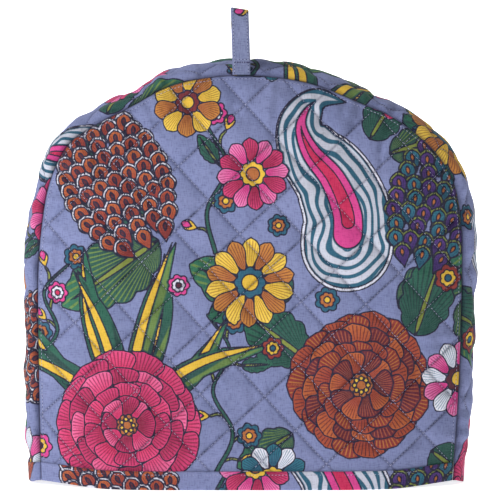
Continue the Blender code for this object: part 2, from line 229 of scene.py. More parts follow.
# %% Make a mesh, and close a shell
def mesh_piece(name, places, faces, attributes=()):
    """A smooth mesh object at the origin, with its attributes."""
    mesh = bpy.data.meshes.new(name)
    mesh.from_pydata(places.tolist(), [], faces.tolist() if hasattr(faces, "tolist") else faces)
    mesh.shade_smooth()
    for key, values in dict(attributes).items():
        kind = "FLOAT" if values.ndim == 1 else "FLOAT_VECTOR"
        layer = mesh.attributes.new(key, kind, "POINT")
        layer.data.foreach_set("value" if values.ndim == 1 else "vector", values.ravel())
    piece = bpy.data.objects.new(name, mesh)
    bpy.context.scene.collection.objects.link(piece)
    return piece


def triangle_count(piece):
    piece.data.calc_loop_triangles()
    return len(piece.data.loop_triangles)


def shell(name, outline, fine_net, coarse_net, form, dress, flip):
    """A closed shell over a flat outline. The form gives the places of flat points on the outer
    (skin 0) or inner (skin 1) side, and dress gives the attributes of the flat points. The outline
    runs clockwise as seen from outside."""
    outer_flat, outer_faces = cut_flat(outline, fine_net)
    inner_flat, inner_faces = cut_flat(outline, coarse_net)
    places = np.vstack([form(outer_flat, 0.0), form(inner_flat, 1.0)])
    border = np.arange(len(outline))
    following = np.roll(border, -1)
    start = len(outer_flat)
    inner_faces = inner_faces[:, ::-1] + start
    rim_one = columns(border, following + start, border + start)
    rim_two = columns(border, following, following + start)
    faces = np.vstack([outer_faces, inner_faces, rim_one, rim_two])
    if flip:
        faces = faces[:, ::-1]
    piece = mesh_piece(name, places, faces, dress(np.vstack([outer_flat, inner_flat])))
    inner = np.zeros(len(faces), int)
    inner[len(outer_faces):len(outer_faces) + len(inner_faces)] = 1
    piece.data.polygons.foreach_set("material_index", inner)
    corners = places[faces]
    volume = np.einsum("ij,ij->i", corners[:, 0], np.cross(corners[:, 1], corners[:, 2])).sum() / 6
    print(name, "-", triangle_count(piece), "triangles, volume", round(volume / MM ** 3 / 1000), "cm3")
    return piece


print("meshes so far:", len(bpy.data.meshes))

# %% [markdown]
# ## Quilting, gathers and creases
# The padding swells between the stitched lines, the cloth puckers where the thread pulls it, and it
# gathers where a long edge is sewn to a shorter one. All of these are small heights added to the cloth's
# form. They use one table of random numbers with a fixed seed, so that each run gives the same cloth.

# %% Smooth random hills
TABLE = 128
SEED_SHIFT = 17.3
RANDOM = np.random.default_rng(41).uniform(-1.0, 1.0, (TABLE, TABLE))


def hills(points, size, seed=0):
    """Smooth random hills from -1 to 1 over flat points; size is their width, one or two numbers."""
    grid = points / np.asarray(size) + SEED_SHIFT * (seed + 1)
    cell = np.floor(grid).astype(int)
    share = grid - cell
    share = share * share * (3.0 - 2.0 * share)
    (left, low), (across, up) = cell.T, share.T
    corner = [RANDOM[(left + i) % TABLE, (low + j) % TABLE] for j in (0, 1) for i in (0, 1)]
    bottom = corner[0] + across * (corner[1] - corner[0])
    top = corner[2] + across * (corner[3] - corner[2])
    return bottom + up * (top - bottom)


print("heights of three hills:", hills(np.eye(3)[:, :2], 1.0).round(2))

# %% [markdown]
# A point's place in the diamonds is counted in two directions, and every whole number is a sewn line. The
# padding is highest half way between lines. Puckers lie beside a line, and not on it, where thread holds
# the cloth down.

# %% Heights of the quilting
QUILT_PITCH = 32 * MM
STITCHED_THICKNESS = 2.2 * MM
PUFF_OUT = 3.0 * MM
PUFF_IN = 1.2 * MM
PUCKER_HEIGHT = 0.75 * MM
PUCKER_WIDTH = 4.2 * MM
PUCKER_REACH = 6.5 * MM
STITCH_HOLD = 1.3 * MM


def quilt_coordinates(points, origin, turn):
    """Place in the diamonds: whole numbers are stitched lines."""
    offset = points - np.array(origin)
    across = (offset[:, 0] * math.cos(turn) + offset[:, 1] * math.sin(turn)) / QUILT_PITCH
    up = (offset[:, 1] * math.cos(turn) - offset[:, 0] * math.sin(turn)) / QUILT_PITCH
    return across, up


def quilted_height(points, origin, turn, seed):
    """Height of the padding from 0 to 1, and of the puckers beside the stitched lines in metres."""
    across, up = quilt_coordinates(points, origin, turn)
    puff = np.sqrt(np.abs(np.sin(math.pi * across) * np.sin(math.pi * up)))
    pucker = np.zeros(len(points))
    for number, (line, run) in enumerate(((across, up), (up, across))):
        away = np.abs(line - np.rint(line)) * QUILT_PITCH
        wave = hills(columns(run * QUILT_PITCH, np.rint(line)),
                     (PUCKER_WIDTH, 1.0), seed + number)
        held = 1.0 - np.exp(-(away / STITCH_HOLD) ** 2)
        pucker += wave * held * np.exp(-(away / PUCKER_REACH) ** 2)
    return puff, PUCKER_HEIGHT * pucker


print("diamonds:", round(QUILT_PITCH / MM), "mm from line to line")

# %% [markdown]
# A crease is a short line with a slight bend. Its height fades to both ends, so it never stops in a step.

# %% Heights of the creases
CREASE_BEND = 0.6
CREASE_ENDS = 0.04


def crease_height(points, creases):
    """Soft troughs and ridges along given lines. Columns of a crease: start x, start z, end x,
    end z, height (negative for a trough), half width."""
    total = np.zeros(len(points))
    for start_x, start_z, end_x, end_z, height, width in creases:
        start, run = np.array([start_x, start_z]), np.array([end_x - start_x, end_z - start_z])
        share = np.clip(((points - start) @ run) / (run @ run), 0.0, 1.0)
        bend = CREASE_BEND * width * np.sin(share * 5.0 + start_x * 90.0)
        side = np.array([-run[1], run[0]]) / np.hypot(*run)
        away = np.hypot(*(points - start - share[:, None] * run - bend[:, None] * side).T)
        fade = np.sin(math.pi * np.clip(share, CREASE_ENDS, 1.0 - CREASE_ENDS))
        total += height * np.exp(-(away / width) ** 2) * fade
    return total


print("creases bend by", CREASE_BEND, "of their width")

# %% [markdown]
# ## The two panels
# A panel is flat where it meets the seam and bulges towards its middle, most at the hem, where the gusset
# no longer holds it in. Its depth is therefore a function of two things: how far a point is from the seam,
# and how high it is. The quilting is pressed flat beside the seam and above the hem's binding.

# %% Relief of a panel
PANEL_PUFF = 3.9 * MM
GATHER_PITCH = 5.5 * MM
GATHER_HEIGHT = 2.8 * MM
GATHER_REACH = 20 * MM
GATHER_START = 3 * MM
SAG_SIZE = 66 * MM
SAG_HEIGHT = 1.4 * MM
CRUMPLE_SIZE = 10 * MM
CRUMPLE_HEIGHT = 0.75 * MM


def panel_relief(points, from_seam, place, pressed, quilting, creases):
    """Heights of the outer cloth over the plain bulge."""
    origin, turn, seed = quilting
    puff, pucker = quilted_height(points, origin, turn, seed)
    free = smooth_step(from_seam / (2 * GATHER_START))
    gather = hills(columns(place, from_seam), (GATHER_PITCH, 3 * GATHER_REACH), seed + 3)
    gather = gather * smooth_step(from_seam / GATHER_START) * np.exp(-from_seam / GATHER_REACH)
    sag = hills(points, SAG_SIZE, seed + 4) * smooth_step(from_seam / GATHER_REACH)
    crumple = hills(points, CRUMPLE_SIZE, seed + 5) * free
    folds = crease_height(points, creases) * free
    loose = GATHER_HEIGHT * gather + SAG_HEIGHT * sag + CRUMPLE_HEIGHT * crumple + folds
    return pressed * (PANEL_PUFF * puff + pucker), loose


print("gathers:", round(GATHER_PITCH / MM, 1), "mm wide")

# %% [markdown]
# The folds of this one cover are listed. The back can't be seen, so its folds are those of the
# front, mirrored and a little changed.

# %% Quilting and folds of both panels
FRONT_QUILTING = ((61.5 * MM, 199.5 * MM), math.radians(42.5), 1)
BACK_QUILTING = ((4.0 * MM, 148.0 * MM), math.radians(45.0), 7)
# Columns: start x, start z, end x, end z, height, half width.
FRONT_CREASES = np.array([
    (138, 222, 142, 144, -2.4, 2.8), (130, 214, 135, 156, 1.3, 4.0), (-136, 196, -138, 120, -1.4, 3.2),
    (-112, 250, -102, 212, -2.0, 2.8), (-88, 264, -82, 232, -1.7, 2.6), (98, 256, 90, 222, -1.8, 2.8),
    (62, 272, 58, 242, 1.2, 3.0), (-140, 60, -122, 26, -1.4, 4.0), (128, 40, 104, 22, -1.6, 4.4),
    (-44, 282, -39, 254, -1.5, 2.6), (118, 118, 138, 86, 1.1, 4.4), (-60, 30, -20, 24, 1.2, 4.4),
]) * MM
BACK_CREASES = FRONT_CREASES * (-0.93, 0.98, -0.97, 1.03, 0.8, 1.1)
print("folds:", len(FRONT_CREASES), "on each panel")

# %% [markdown]
# The depth adds the relief to the plain bulge. The inner side follows the outer one, but swells less, and
# both are calm where the binding is sewn on.

# %% Depth of a panel
BULGE_TOP = 23 * MM
BULGE_HEM = 30 * MM
BULGE_REACH = 90 * MM
BULGE_POWER = 2.4
PRESSED_AT_SEAM = 11 * MM
PRESSED_AT_HEM = 15 * MM
CORNER_LIFT = 3 * MM
LIFT_START = 95 * MM
LIFT_REACH = 55 * MM
BINDING_HEIGHT = 12 * MM
BINDING_MARGIN = 1.5 * MM
LOOSE_AT_HEM = 0.25


def hem_lift(x):
    """Height of the front or back hem above the table."""
    return CORNER_LIFT * smooth_step((np.abs(x) - LIFT_START) / LIFT_REACH)


def panel_depth(points, quilting, creases):
    """Distance of a panel's outer and inner faces from the cosy's middle plane."""
    from_seam, place = seam.nearest(points)
    height = points[:, 1]
    fullness = np.interp(height, [0.0, seam.top], [BULGE_HEM, BULGE_TOP])
    closeness = 1.0 - np.clip(from_seam / BULGE_REACH, 0.0, 1.0)
    bulge = half_depth + fullness * (1.0 - closeness ** BULGE_POWER)
    above_binding = height - hem_lift(points[:, 0]) - HEM_EDGE - BINDING_HEIGHT - BINDING_MARGIN
    above = smooth_step(above_binding / PRESSED_AT_HEM)
    pressed = smooth_step(from_seam / PRESSED_AT_SEAM) * above
    puffed, loose = panel_relief(points, from_seam, place, pressed, quilting, creases)
    loose = loose * (LOOSE_AT_HEM + (1.0 - LOOSE_AT_HEM) * above)
    puff_in = PUFF_IN / PUFF_OUT * puffed
    return bulge + puffed + loose, bulge - STITCHED_THICKNESS - puff_in + loose


print("panels bulge", round(BULGE_TOP / MM), "to", round(BULGE_HEM / MM), "mm")

# %% [markdown]
# The outline is the seam line, drawn in by half of the gap, and the hem. Only points of the net that lie
# inside it are kept, and none so close to it that a sliver of a triangle would form.

# %% Cut both panels
HEM_FINENESS = 1.5


def hem_line(count):
    """The panel's bottom edge from the right seam to the left one."""
    arch = seam.line - GAP * seam.outward
    x = np.linspace(arch[-1, 0], arch[0, 0], count + 1)[1:-1]
    return arch, columns(x, HEM_EDGE + hem_lift(x))


def inside_arch(points, arch, clearance):
    """Which points lie inside the arch and above the hem, by at least the clearance."""
    from_seam, place = seam.nearest(points)
    centre = np.array([0.0, BEARING_HEIGHT])
    arch_bearing = np.arctan2(arch[:, 0], arch[:, 1] - centre[1])
    arch_reach = np.hypot(*(arch - centre).T)
    own = np.arctan2(points[:, 0], points[:, 1] - centre[1])
    reach = np.hypot(*(points - centre).T)
    within = reach < np.interp(own, arch_bearing, arch_reach)
    low = np.abs(own) > arch_bearing.max()
    above_hem = points[:, 1] > HEM_EDGE + hem_lift(points[:, 0]) + clearance
    return (within | low) & above_hem & (from_seam > clearance + GAP)


def make_panel(name, side, quilting, creases, fine_step, dress):
    """An arched quilted panel; side is -1 for the front and 1 for the back."""
    arch, hem = hem_line(round(2 * LIFT_START / fine_step * HEM_FINENESS))
    outline = np.vstack([arch, hem])
    low, high = outline.min(axis=0), outline.max(axis=0)
    nets = []
    for step in (fine_step, INNER_STEP):
        net = net_of(low, high, *quilting[:2], step)
        nets.append(net[inside_arch(net, arch, NET_CLEARANCE * step)])

    def form(points, skin):
        outer, inner = panel_depth(points, quilting, creases)
        depth = side * (inner if skin else outer)
        return columns(points[:, 0], depth, points[:, 1])

    return shell(name, outline, *nets, form, dress, flip=side > 0)


print("hem from", round(seam.edge_x(-1, 0.0) / MM), "to", round(seam.edge_x(1, 0.0) / MM), "mm")

# %% [markdown]
# ## The gusset
# The band between the panels is as long as the seam and about 10 cm wide. Its section is a superellipse:
# it rises from one seam, runs nearly flat over the crest and comes down to the other. Flat coordinates are
# the distance along the seam and the distance across the band. Where the sewn band is drawn in, its crest
# dips, and those pinches make the soft outline of the cover lively.

# %% Form of the gusset
RISE_AT_CROWN = 9.8 * MM
RISE_AT_SIDES = 10.2 * MM
RISE_POWER = 1.5
SECTION_POWER = 2.6
SECTION_SAMPLES = 600
LIFT_SPREAD = 4
# Pinches. Columns: share of the band's length, depth, half length, both in millimetres.
PINCHES = (
    (0.130, 0.8, 14), (0.272, 1.8, 13), (0.330, 1.4, 20), (0.395, 2.8, 12), (0.455, 0.6, 12),
    (0.560, 1.2, 14), (0.624, 2.4, 12), (0.690, 0.6, 14), (0.832, 1.0, 12),
)


def section_point(angle, rise, depth):
    """Height over the seam line and depth of a point of the section."""
    power = 2.0 / SECTION_POWER
    up = np.clip(np.cos(angle), 0.0, 1.0) ** power
    sideways = np.sign(np.sin(angle)) * np.abs(np.sin(angle)) ** power
    return rise * up, depth * sideways


section_angle = np.linspace(-math.pi / 2, math.pi / 2, SECTION_SAMPLES + 1)
section_run = along(np.stack(section_point(section_angle, RISE_AT_SIDES, half_depth), axis=1))
band_width = section_run[-1]


def gusset_rise(distance):
    """How far the gusset's crest stands out from the seam line."""
    _, outward = seam.at(distance)
    sideways = np.abs(outward[:, 0]) ** RISE_POWER
    rise = RISE_AT_CROWN + (RISE_AT_SIDES - RISE_AT_CROWN) * sideways
    for share, depth, half_length in PINCHES:
        rise = rise - depth * MM * np.exp(-((distance - share * seam.length) / half_length / MM) ** 2)
    return rise


def gusset_place(distance, across, grow):
    """Places of the gusset; grow moves them outward from the outer face, or inward if negative."""
    angle = np.interp(across, section_run, section_angle)
    rise, depth = section_point(angle, gusset_rise(distance) + grow, half_depth + grow)
    place, outward = seam.at(distance)
    x, z = (place + rise[:, None] * outward).T
    middle = 1.0 - np.sin(angle) ** LIFT_SPREAD
    left = np.exp(-distance / LIFT_ALONG_GUSSET)
    right = np.exp(-(seam.length - distance) / LIFT_ALONG_GUSSET)
    z = z - CORNER_LIFT * middle * (left + right) - HEM_EDGE * right
    return columns(x, depth, z)


print("gusset:", round(band_width / MM, 1), "mm wide over its crest")

# %% [markdown]
# The band has its own quilting, gathers and crumples, with a lower swell than a panel's. They fade at its
# ends, which are bound or turned under, and round the root of the loop.

# %% Relief of the gusset
GUSSET_TURN = math.radians(45.0)
GUSSET_SHIFT = 9 * MM
GUSSET_SEED = 15
GUSSET_QUILTING = ((seam.length / 2 + GUSSET_SHIFT, band_width / 2), GUSSET_TURN, GUSSET_SEED)
GUSSET_GATHER = 2.8 * MM
GUSSET_GATHER_PITCH = 6 * MM
GUSSET_GATHER_REACH = 15 * MM
GUSSET_GATHER_LENGTH = 40 * MM
LOOP_CLEARING = 17 * MM
LOOP_CLEARING_CORE = 0.4
loop_low, loop_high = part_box("hanging_loop")
LOOP_X = (loop_low.x + loop_high.x) / 2
crown = seam.stations[np.argmin(np.abs(seam.line[:, 0] - LOOP_X) + (seam.line[:, 1] < BEARING_HEIGHT))]


def gusset_grow(points):
    """Growth of the gusset's outer and inner faces."""
    distance, across = points.T
    from_seam = np.minimum(across, band_width - across)
    from_end = np.minimum(distance, seam.length - distance)
    clear_end = smooth_step((from_end - BINDING_HEIGHT - BINDING_MARGIN) / PRESSED_AT_HEM)
    beside_loop = smooth_step(np.hypot(distance - crown, across) / LOOP_CLEARING - LOOP_CLEARING_CORE)
    pressed = smooth_step(from_seam / PRESSED_AT_SEAM) * clear_end * beside_loop
    origin, turn, seed = GUSSET_QUILTING
    puff, pucker = quilted_height(points, origin, turn, seed)
    gather_size = (GUSSET_GATHER_PITCH, GUSSET_GATHER_LENGTH)
    gather = hills(columns(distance, from_seam), gather_size, seed + 3)
    gather = gather * smooth_step(from_seam / GATHER_START) * np.exp(-from_seam / GUSSET_GATHER_REACH)
    free = smooth_step(from_seam / (2 * GATHER_START)) * clear_end * beside_loop
    crumple = hills(points, CRUMPLE_SIZE, seed + 5) * free
    sag = hills(points, SAG_SIZE / 2, seed + 4) * free
    loose = GUSSET_GATHER * gather * clear_end + CRUMPLE_HEIGHT * crumple + SAG_HEIGHT * sag / 2
    puffed = pressed * (PUFF_OUT * puff + pucker)
    return puffed + loose, loose - STITCHED_THICKNESS - PUFF_IN / PUFF_OUT * puffed


print("the loop stands", round(crown / MM), "mm along the seam")

# %% [markdown]
# Cut flat, the band is a plain rectangle. Its long borders have as many points as the seam line, so the
# joint to each panel stays even all the way round.

# %% Cut the gusset
GUSSET_STEP = QUILT_PITCH / 25


def make_gusset(name, dress):
    """The quilted band between the two panels."""
    count = len(seam.stations)
    front_side = columns(seam.stations, np.zeros(count))
    back_side = columns(seam.stations[::-1], np.full(count, band_width))
    steps = np.linspace(0.0, band_width, round(band_width / GUSSET_STEP) + 1)[1:-1]
    right = columns(np.full(len(steps), seam.length), steps)
    left = columns(np.zeros(len(steps)), steps[::-1])
    outline = np.vstack([front_side, right, back_side, left])[::-1]
    nets = []
    for step in (GUSSET_STEP, INNER_STEP):
        clear = NET_CLEARANCE * step
        nets.append(net_of((clear, clear), (seam.length - clear, band_width - clear),
                           *GUSSET_QUILTING[:2], step))

    def form(points, skin):
        outer, inner = gusset_grow(points)
        return gusset_place(points[:, 0], points[:, 1], inner if skin else outer)

    return shell(name, outline, *nets, form, dress, flip=False)


print("gusset net:", round(GUSSET_STEP / MM, 2), "mm")

# %% [markdown]
# ## Folded strips
# The bindings and the loop are narrow strips of the same cotton, folded lengthwise. A folded strip is one
# closed section carried along a line: rows of points across it, stations along it, and a cap at each end.

# %% Sweep a closed section along a line
def swept(name, stations, section_size, form, dress, flip=False):
    """A closed strip. form(station, row) places every point; both are whole numbers."""
    station, row = (grid.ravel() for grid in np.meshgrid(
        np.arange(stations), np.arange(section_size), indexing="ij"))
    places = form(station, row)
    faces = []
    for first in range(stations - 1):
        for own in range(section_size):
            after = (own + 1) % section_size
            low, high = first * section_size, (first + 1) * section_size
            faces.append((low + own, low + after, high + after, high + own))
    faces.append(tuple(range(section_size))[::-1])
    faces.append(tuple(range((stations - 1) * section_size, stations * section_size)))
    if flip:
        faces = [face[::-1] for face in faces]
    piece = mesh_piece(name, places, faces, dress(station, row, places))
    print(name, "-", triangle_count(piece), "triangles")
    return piece


print("strips stand", round(GAP / MM, 1), "mm off the cloth below")

# %% [markdown]
# ## Bindings on the hem
# A strip about 28 mm wide is folded over each panel's bottom edge and sewn down, so 12 mm of it shows
# outside and 12 mm inside. Its top edge is turned in, which makes it a little thicker there. It follows
# the same depth function as the panel, moved out by its own thickness.

# %% Section of a binding
BINDING_ROWS = 11
BINDING_TURN_IN = 0.35 * MM
BINDING_TURN_REACH = 0.22
BINDING_EDGE_SHARE = 0.55
BINDING_WAVE = 0.25 * MM
BINDING_WAVE_SIZE = 9 * MM
FOLD_ROWS = 5


def binding_section():
    """Rows of a binding's closed section. Columns: side of the cloth (1 outside, -1 inside), share of
    the height, distance from the cloth's face as a share of the wall, distance below the edge."""
    up = np.linspace(0.0, 1.0, BINDING_ROWS)
    fold = np.linspace(1.0, -1.0, FOLD_ROWS + 2)[1:-1]
    rows = [(1.0, share, 1.0, 0.0) for share in up[::-1]]
    rows += [(side, 0.0, 1.0, 1.0) for side in fold]
    rows += [(-1.0, share, 1.0, 0.0) for share in up]
    rows += [(-1.0, share, 0.0, 0.0) for share in up[::-1]]
    rows += [(side, 0.0, 0.0, 1.0) for side in fold[::-1]]
    rows += [(1.0, share, 0.0, 0.0) for share in up]
    return np.array(rows)


BINDING = binding_section()


def binding_offsets(row, along_strip, seed):
    """Side, share of the height and distance from the cloth for points of a binding's section."""
    side, share, outer, below = BINDING[row].T
    swell = BINDING_TURN_IN * np.exp(-((1.0 - share) / BINDING_TURN_REACH) ** 2) * (below < 0.5)
    wave = BINDING_WAVE * hills(columns(along_strip, share * BINDING_HEIGHT),
                                (BINDING_WAVE_SIZE, BINDING_HEIGHT), seed)
    soft_edge = np.where((share > 0.999) & (below < 0.5), BINDING_EDGE_SHARE, 1.0)
    away = GAP + outer * (BINDING_WALL * soft_edge + swell + wave * smooth_step(share * 2.0))
    return side, share, below, away


print("binding:", len(BINDING), "points in its section")

# %% [markdown]
# Along the hem the strip keeps between the two side seams, which lean a little. Below the edge its section
# turns round the cloth in a soft bend.

# %% Fold a binding over a panel's edge
BINDING_STEP = 1.2 * MM


def make_panel_binding(name, side_of_cosy, quilting, creases, dress):
    """The strip folded over a panel's bottom edge."""
    width = seam.edge_x(1, 0.0) - seam.edge_x(-1, 0.0)
    stations = round(width / BINDING_STEP)

    def form(station, row):
        share_along = station / (stations - 1)
        side, share, below, away = binding_offsets(row, share_along * width, 31)
        level = share * BINDING_HEIGHT
        left, right = seam.edge_x(-1, level) + GAP, seam.edge_x(1, level) - GAP
        x = left + share_along * (right - left)
        edge = HEM_EDGE + hem_lift(x)
        z = edge + level - below * away * np.sqrt(np.clip(1.0 - (side * below) ** 2, 0.0, 1.0)) ** 0.5
        outer, inner = panel_depth(columns(x, np.maximum(z, edge)), quilting, creases)
        middle, half = (outer + inner) / 2, (outer - inner) / 2
        depth = middle + np.where(below > 0.5, side, np.sign(side)) * (half + away)
        return columns(x, side_of_cosy * depth, z)

    return swept(name, stations, len(BINDING), form, dress, flip=side_of_cosy > 0)


hem_length = seam.edge_x(1, 0.0) - seam.edge_x(-1, 0.0)
print("each panel's binding is", round(hem_length / MM, 1), "mm long")

# %% [markdown]
# Only the gusset's left end has a strip. It is folded over the band's end in the same way, and follows the
# band's section from the front seam to the back one. The right end is simply turned under.

# %% Fold the strip over the gusset's left end
def make_gusset_binding(name, dress):
    """The strip folded over the left end of the band."""
    stations = round(band_width / BINDING_STEP)
    across_all = np.linspace(0.0, band_width, stations)

    def form(station, row):
        across = across_all[station]
        side, share, below, away = binding_offsets(row, across, 37)
        distance = share * BINDING_HEIGHT
        outer, inner = gusset_grow(columns(distance, across))
        middle, half = (outer + inner) / 2, (outer - inner) / 2
        grow = middle + np.where(below > 0.5, side, np.sign(side)) * (half + away)
        places = gusset_place(distance, across, grow)
        places[:, 2] -= below * away * np.sqrt(np.clip(1.0 - side ** 2, 0.0, 1.0)) ** 0.5
        return places

    return swept(name, stations, len(BINDING), form, dress)


print("the gusset's binding is", round(band_width / MM, 1), "mm long")

# %% [markdown]
# ## The hanging loop
# A strip of the print, folded to 13 mm and stitched along both edges, rises out of the seam at the crown,
# bends over and comes down behind itself. It leans a little, so its top is higher at the left. The strip
# is swept along its own path, with two folded edges that are slightly thicker than its middle.

# %% Path and section of the loop
LOOP_WIDTH = loop_high.x - loop_low.x
LOOP_TOP = loop_high.z
LOOP_STRIP = 1.3 * MM
LOOP_GAP = 8.0 * MM
LOOP_WIDEST = 1.25
LOOP_FULLNESS = 0.7
LOOP_ROOT = 8.5 * MM
LOOP_SLANT = 0.16
LOOP_STEP = 0.9 * MM
LOOP_SAMPLES = 60
LOOP_SMOOTHING = 30
LOOP_ROWS = 15
LOOP_EDGE_SWELL = 0.18 * MM
LOOP_EDGE_REACH = 0.16
LOOP_ROUNDNESS = 8
LOOP_THINNEST = 0.12
loop_seam_z = np.interp(crown, seam.stations, seam.line[:, 1])
loop_bottom = loop_seam_z + LOOP_ROOT


def loop_path():
    """The middle line of the loop's strip in depth and height, from the seam up behind, over and down."""
    top = LOOP_TOP - LOOP_SLANT * LOOP_WIDTH / 2 - LOOP_STRIP / 2
    share = np.linspace(0.0, 1.0, LOOP_SAMPLES)[1:-1]
    bow = 0.5 * LOOP_GAP * np.sin(math.pi * share ** LOOP_WIDEST) ** LOOP_FULLNESS
    height = loop_bottom + share * (top - loop_bottom)
    half = LOOP_STRIP / 2 + GAP / 4
    up = [(half, loop_seam_z + GAP), (half, loop_bottom)]
    up += list(zip(bow + half, height))
    line = up + [(0.0, top)] + [(-depth, z) for depth, z in up[::-1]]
    line = through_points(np.array(line), 4)
    for _ in range(LOOP_SMOOTHING):
        line[1:-1] = 0.5 * line[1:-1] + 0.25 * (line[:-2] + line[2:])
    run = along(line)
    return resampled(line, run, np.linspace(0.0, run[-1], round(run[-1] / LOOP_STEP) + 1))


def rounded_strip(width, thickness, count):
    """Closed section of a folded strip. Columns: place across it, height over its middle."""
    share = np.linspace(-1.0, 1.0, count)
    swell = LOOP_EDGE_SWELL * np.exp(-((1.0 - np.abs(share)) / LOOP_EDGE_REACH) ** 2)
    half = (thickness / 2 + swell) * np.sqrt(np.clip(1.0 - share ** LOOP_ROUNDNESS, LOOP_THINNEST, 1.0))
    top = columns(share * width / 2, half)
    return np.vstack([top, top[::-1] * (1.0, -1.0)])


loop_line = loop_path()
loop_section = rounded_strip(LOOP_WIDTH, LOOP_STRIP, LOOP_ROWS)
loop_run = along(loop_line)
print("loop: strip", round(loop_run[-1] / MM), "mm long")

# %% [markdown]
# The path lies in one plane, and the section is set square to it at each station. The strip then leans to
# the left as it rises, and a slight wave keeps its faces from looking pressed.

# %% Sweep the loop's strip
LOOP_MIDDLE = -half_depth - GAP - LOOP_STRIP
LOOP_LEAN = 1.3 * MM
LOOP_LEAN_LEVEL = 0.4
LOOP_WAVE = 0.22 * MM
LOOP_WAVE_SIZE = 15 * MM


def loop_place(run, across, over):
    """A point of the loop: distance along its path, place across the strip, height over the strip."""
    tangent = np.gradient(loop_line, axis=0)
    tangent /= np.linalg.norm(tangent, axis=1)[:, None]
    place = resampled(loop_line, loop_run, run)
    direction = resampled(tangent, loop_run, run)
    wave = LOOP_WAVE * hills(columns(run, across), (LOOP_WAVE_SIZE, LOOP_WIDTH), 52)
    free = smooth_step((place[:, 1] - loop_bottom) / LOOP_ROOT)
    over = over + wave * free
    depth = place[:, 0] + direction[:, 1] * over
    z = place[:, 1] - direction[:, 0] * over
    up = np.clip((z - loop_bottom) / (LOOP_TOP - loop_bottom), 0.0, None)
    x = LOOP_X + across + LOOP_LEAN * (LOOP_LEAN_LEVEL - up)
    return columns(x, LOOP_MIDDLE + depth, z - LOOP_SLANT * across * up)


def make_loop(name, dress):
    """The folded strip of the hanging loop."""
    def form(station, row):
        across, over = loop_section[row].T
        return loop_place(loop_run[station], across, over)

    return swept(name, len(loop_line), len(loop_section), form, dress)


print("loop:", len(loop_line), "stations of", len(loop_section), "points")

# %% [markdown]
# ## The print
# The cotton carries a bold floral in many inks: big round flowers, curled drops, spiky leaves, scaly cones
# and stems with florets, all drawn with a thin dark outline. The motifs are ordinary ones of this kind, in
# this print's colours and scale. Each motif is a list of closed outlines in flat millimetres. For every
# ink, each mesh point stores how far it is from that ink's edge, negative inside, so that the shader can
# cut the colours sharply wherever the edge runs between two points.

# %% Inks of the print
# Colours on the cotton, as display values. Columns: body of the ink, its far tips, fine lines in it.
INKS = {
    "leaf": ("#1C5545", "#22694C", "#0D332E"),
    "fern": ("#17463F", "#2B7350", "#6F8A3A"),
    "moss": ("#7F8B33", "#ADA82E", "#2F5A30"),
    "sun": ("#E3B932", "#EFCD4C", "#A8701F"),
    "grape": ("#3D2168", "#553080", "#1E0F40"),
    "petrol": ("#1A5A72", "#237586", "#0C2F4A"),
    "shell": ("#DCDCEA", "#ECEAF5", "#4A8A9C"),
    "wave": ("#1B5A72", "#1B5A72", "#DDDDEB"),
    "rose_one": ("#C4184F", "#E2487F", "#7E0A36"),
    "rose_two": ("#A91046", "#D83A74", "#6E0830"),
    "rose_three": ("#D02A64", "#EC6C9E", "#8E0E40"),
    "rose_four": ("#96103E", "#C82C66", "#5C062A"),
    "blush": ("#D63C8C", "#EC86BC", "#A91258"),
    "rust_one": ("#8E2E1E", "#A8481F", "#4A0C16"),
    "rust_two": ("#701A1C", "#8E2C1C", "#B87228"),
    "rust_three": ("#A2421F", "#BC6226", "#5C1418"),
    "ochre": ("#AE6426", "#C8842E", "#6C2E16"),
    "wine": ("#4E0C1E", "#6A1622", "#A2502A"),
}
print("inks:", ", ".join(INKS))

# %% [markdown]
# Three kinds of outline are enough: a petal, which also serves as a leaf, a disc with lobes, and a ribbon
# along a smooth line.

# %% Outlines in flat millimetres
def petal(root, bearing, length, width, widest=0.62, count=12, wave=0.0):
    """Outline of a petal or leaf from its root towards its bearing. Wave scallops its sides."""
    share = np.linspace(0.0, 1.0, count)
    half = 0.5 * width * np.sin(math.pi * share ** (math.log(0.5) / math.log(widest))) ** 0.7
    half = half * (1.0 + wave * np.abs(np.sin(share * math.pi * 5.0)))
    sides = np.vstack([columns(share * length, half),
                       columns(share * length, -half)[-2:0:-1]])
    return np.array(root) + turned(sides, bearing)


def disc(centre, radius, lobes=0, depth=0.0, count=28, turn=0.0):
    """Outline of a disc, scalloped into lobes."""
    bearing = np.linspace(0.0, 2 * math.pi, max(count, 6 * lobes), endpoint=False)
    reach = radius * (1.0 - depth + depth * np.abs(np.cos(lobes * bearing / 2 + turn)))
    return np.array(centre) + columns(reach * np.cos(bearing), reach * np.sin(bearing))


def ribbon(points, widths, steps=8):
    """Outline of a stem or a curved leaf: a smooth line with a width at each of its points."""
    line = through_points(np.array(points, float), steps)
    width = np.interp(np.linspace(0, 1, len(line)), np.linspace(0, 1, len(widths)), widths)
    tangent = np.gradient(line, axis=0)
    normal = columns(-tangent[:, 1], tangent[:, 0]) / np.hypot(*tangent.T)[:, None]
    side = 0.5 * width[:, None] * normal
    return np.vstack([line + side, (line - side)[::-1]])


print("a petal has", len(petal((0, 0), 0.0, 20, 10)), "points, a disc", len(disc((0, 0), 10)))

# %% [markdown]
# A shape of the print is an ink, an outline, and for its fine lines a root and a spacing: the lines fan out
# from the root like the veins of a petal. A negative spacing gives bands that follow the outline instead.
# Motifs are short functions that return such shapes, the lowest first. Neighbouring petals use different
# inks, because an outline is drawn only where one ink ends.

# %% Flowers
def polar(centre, reach, bearing):
    return np.array(centre) + reach * np.array([math.cos(bearing), math.sin(bearing)])


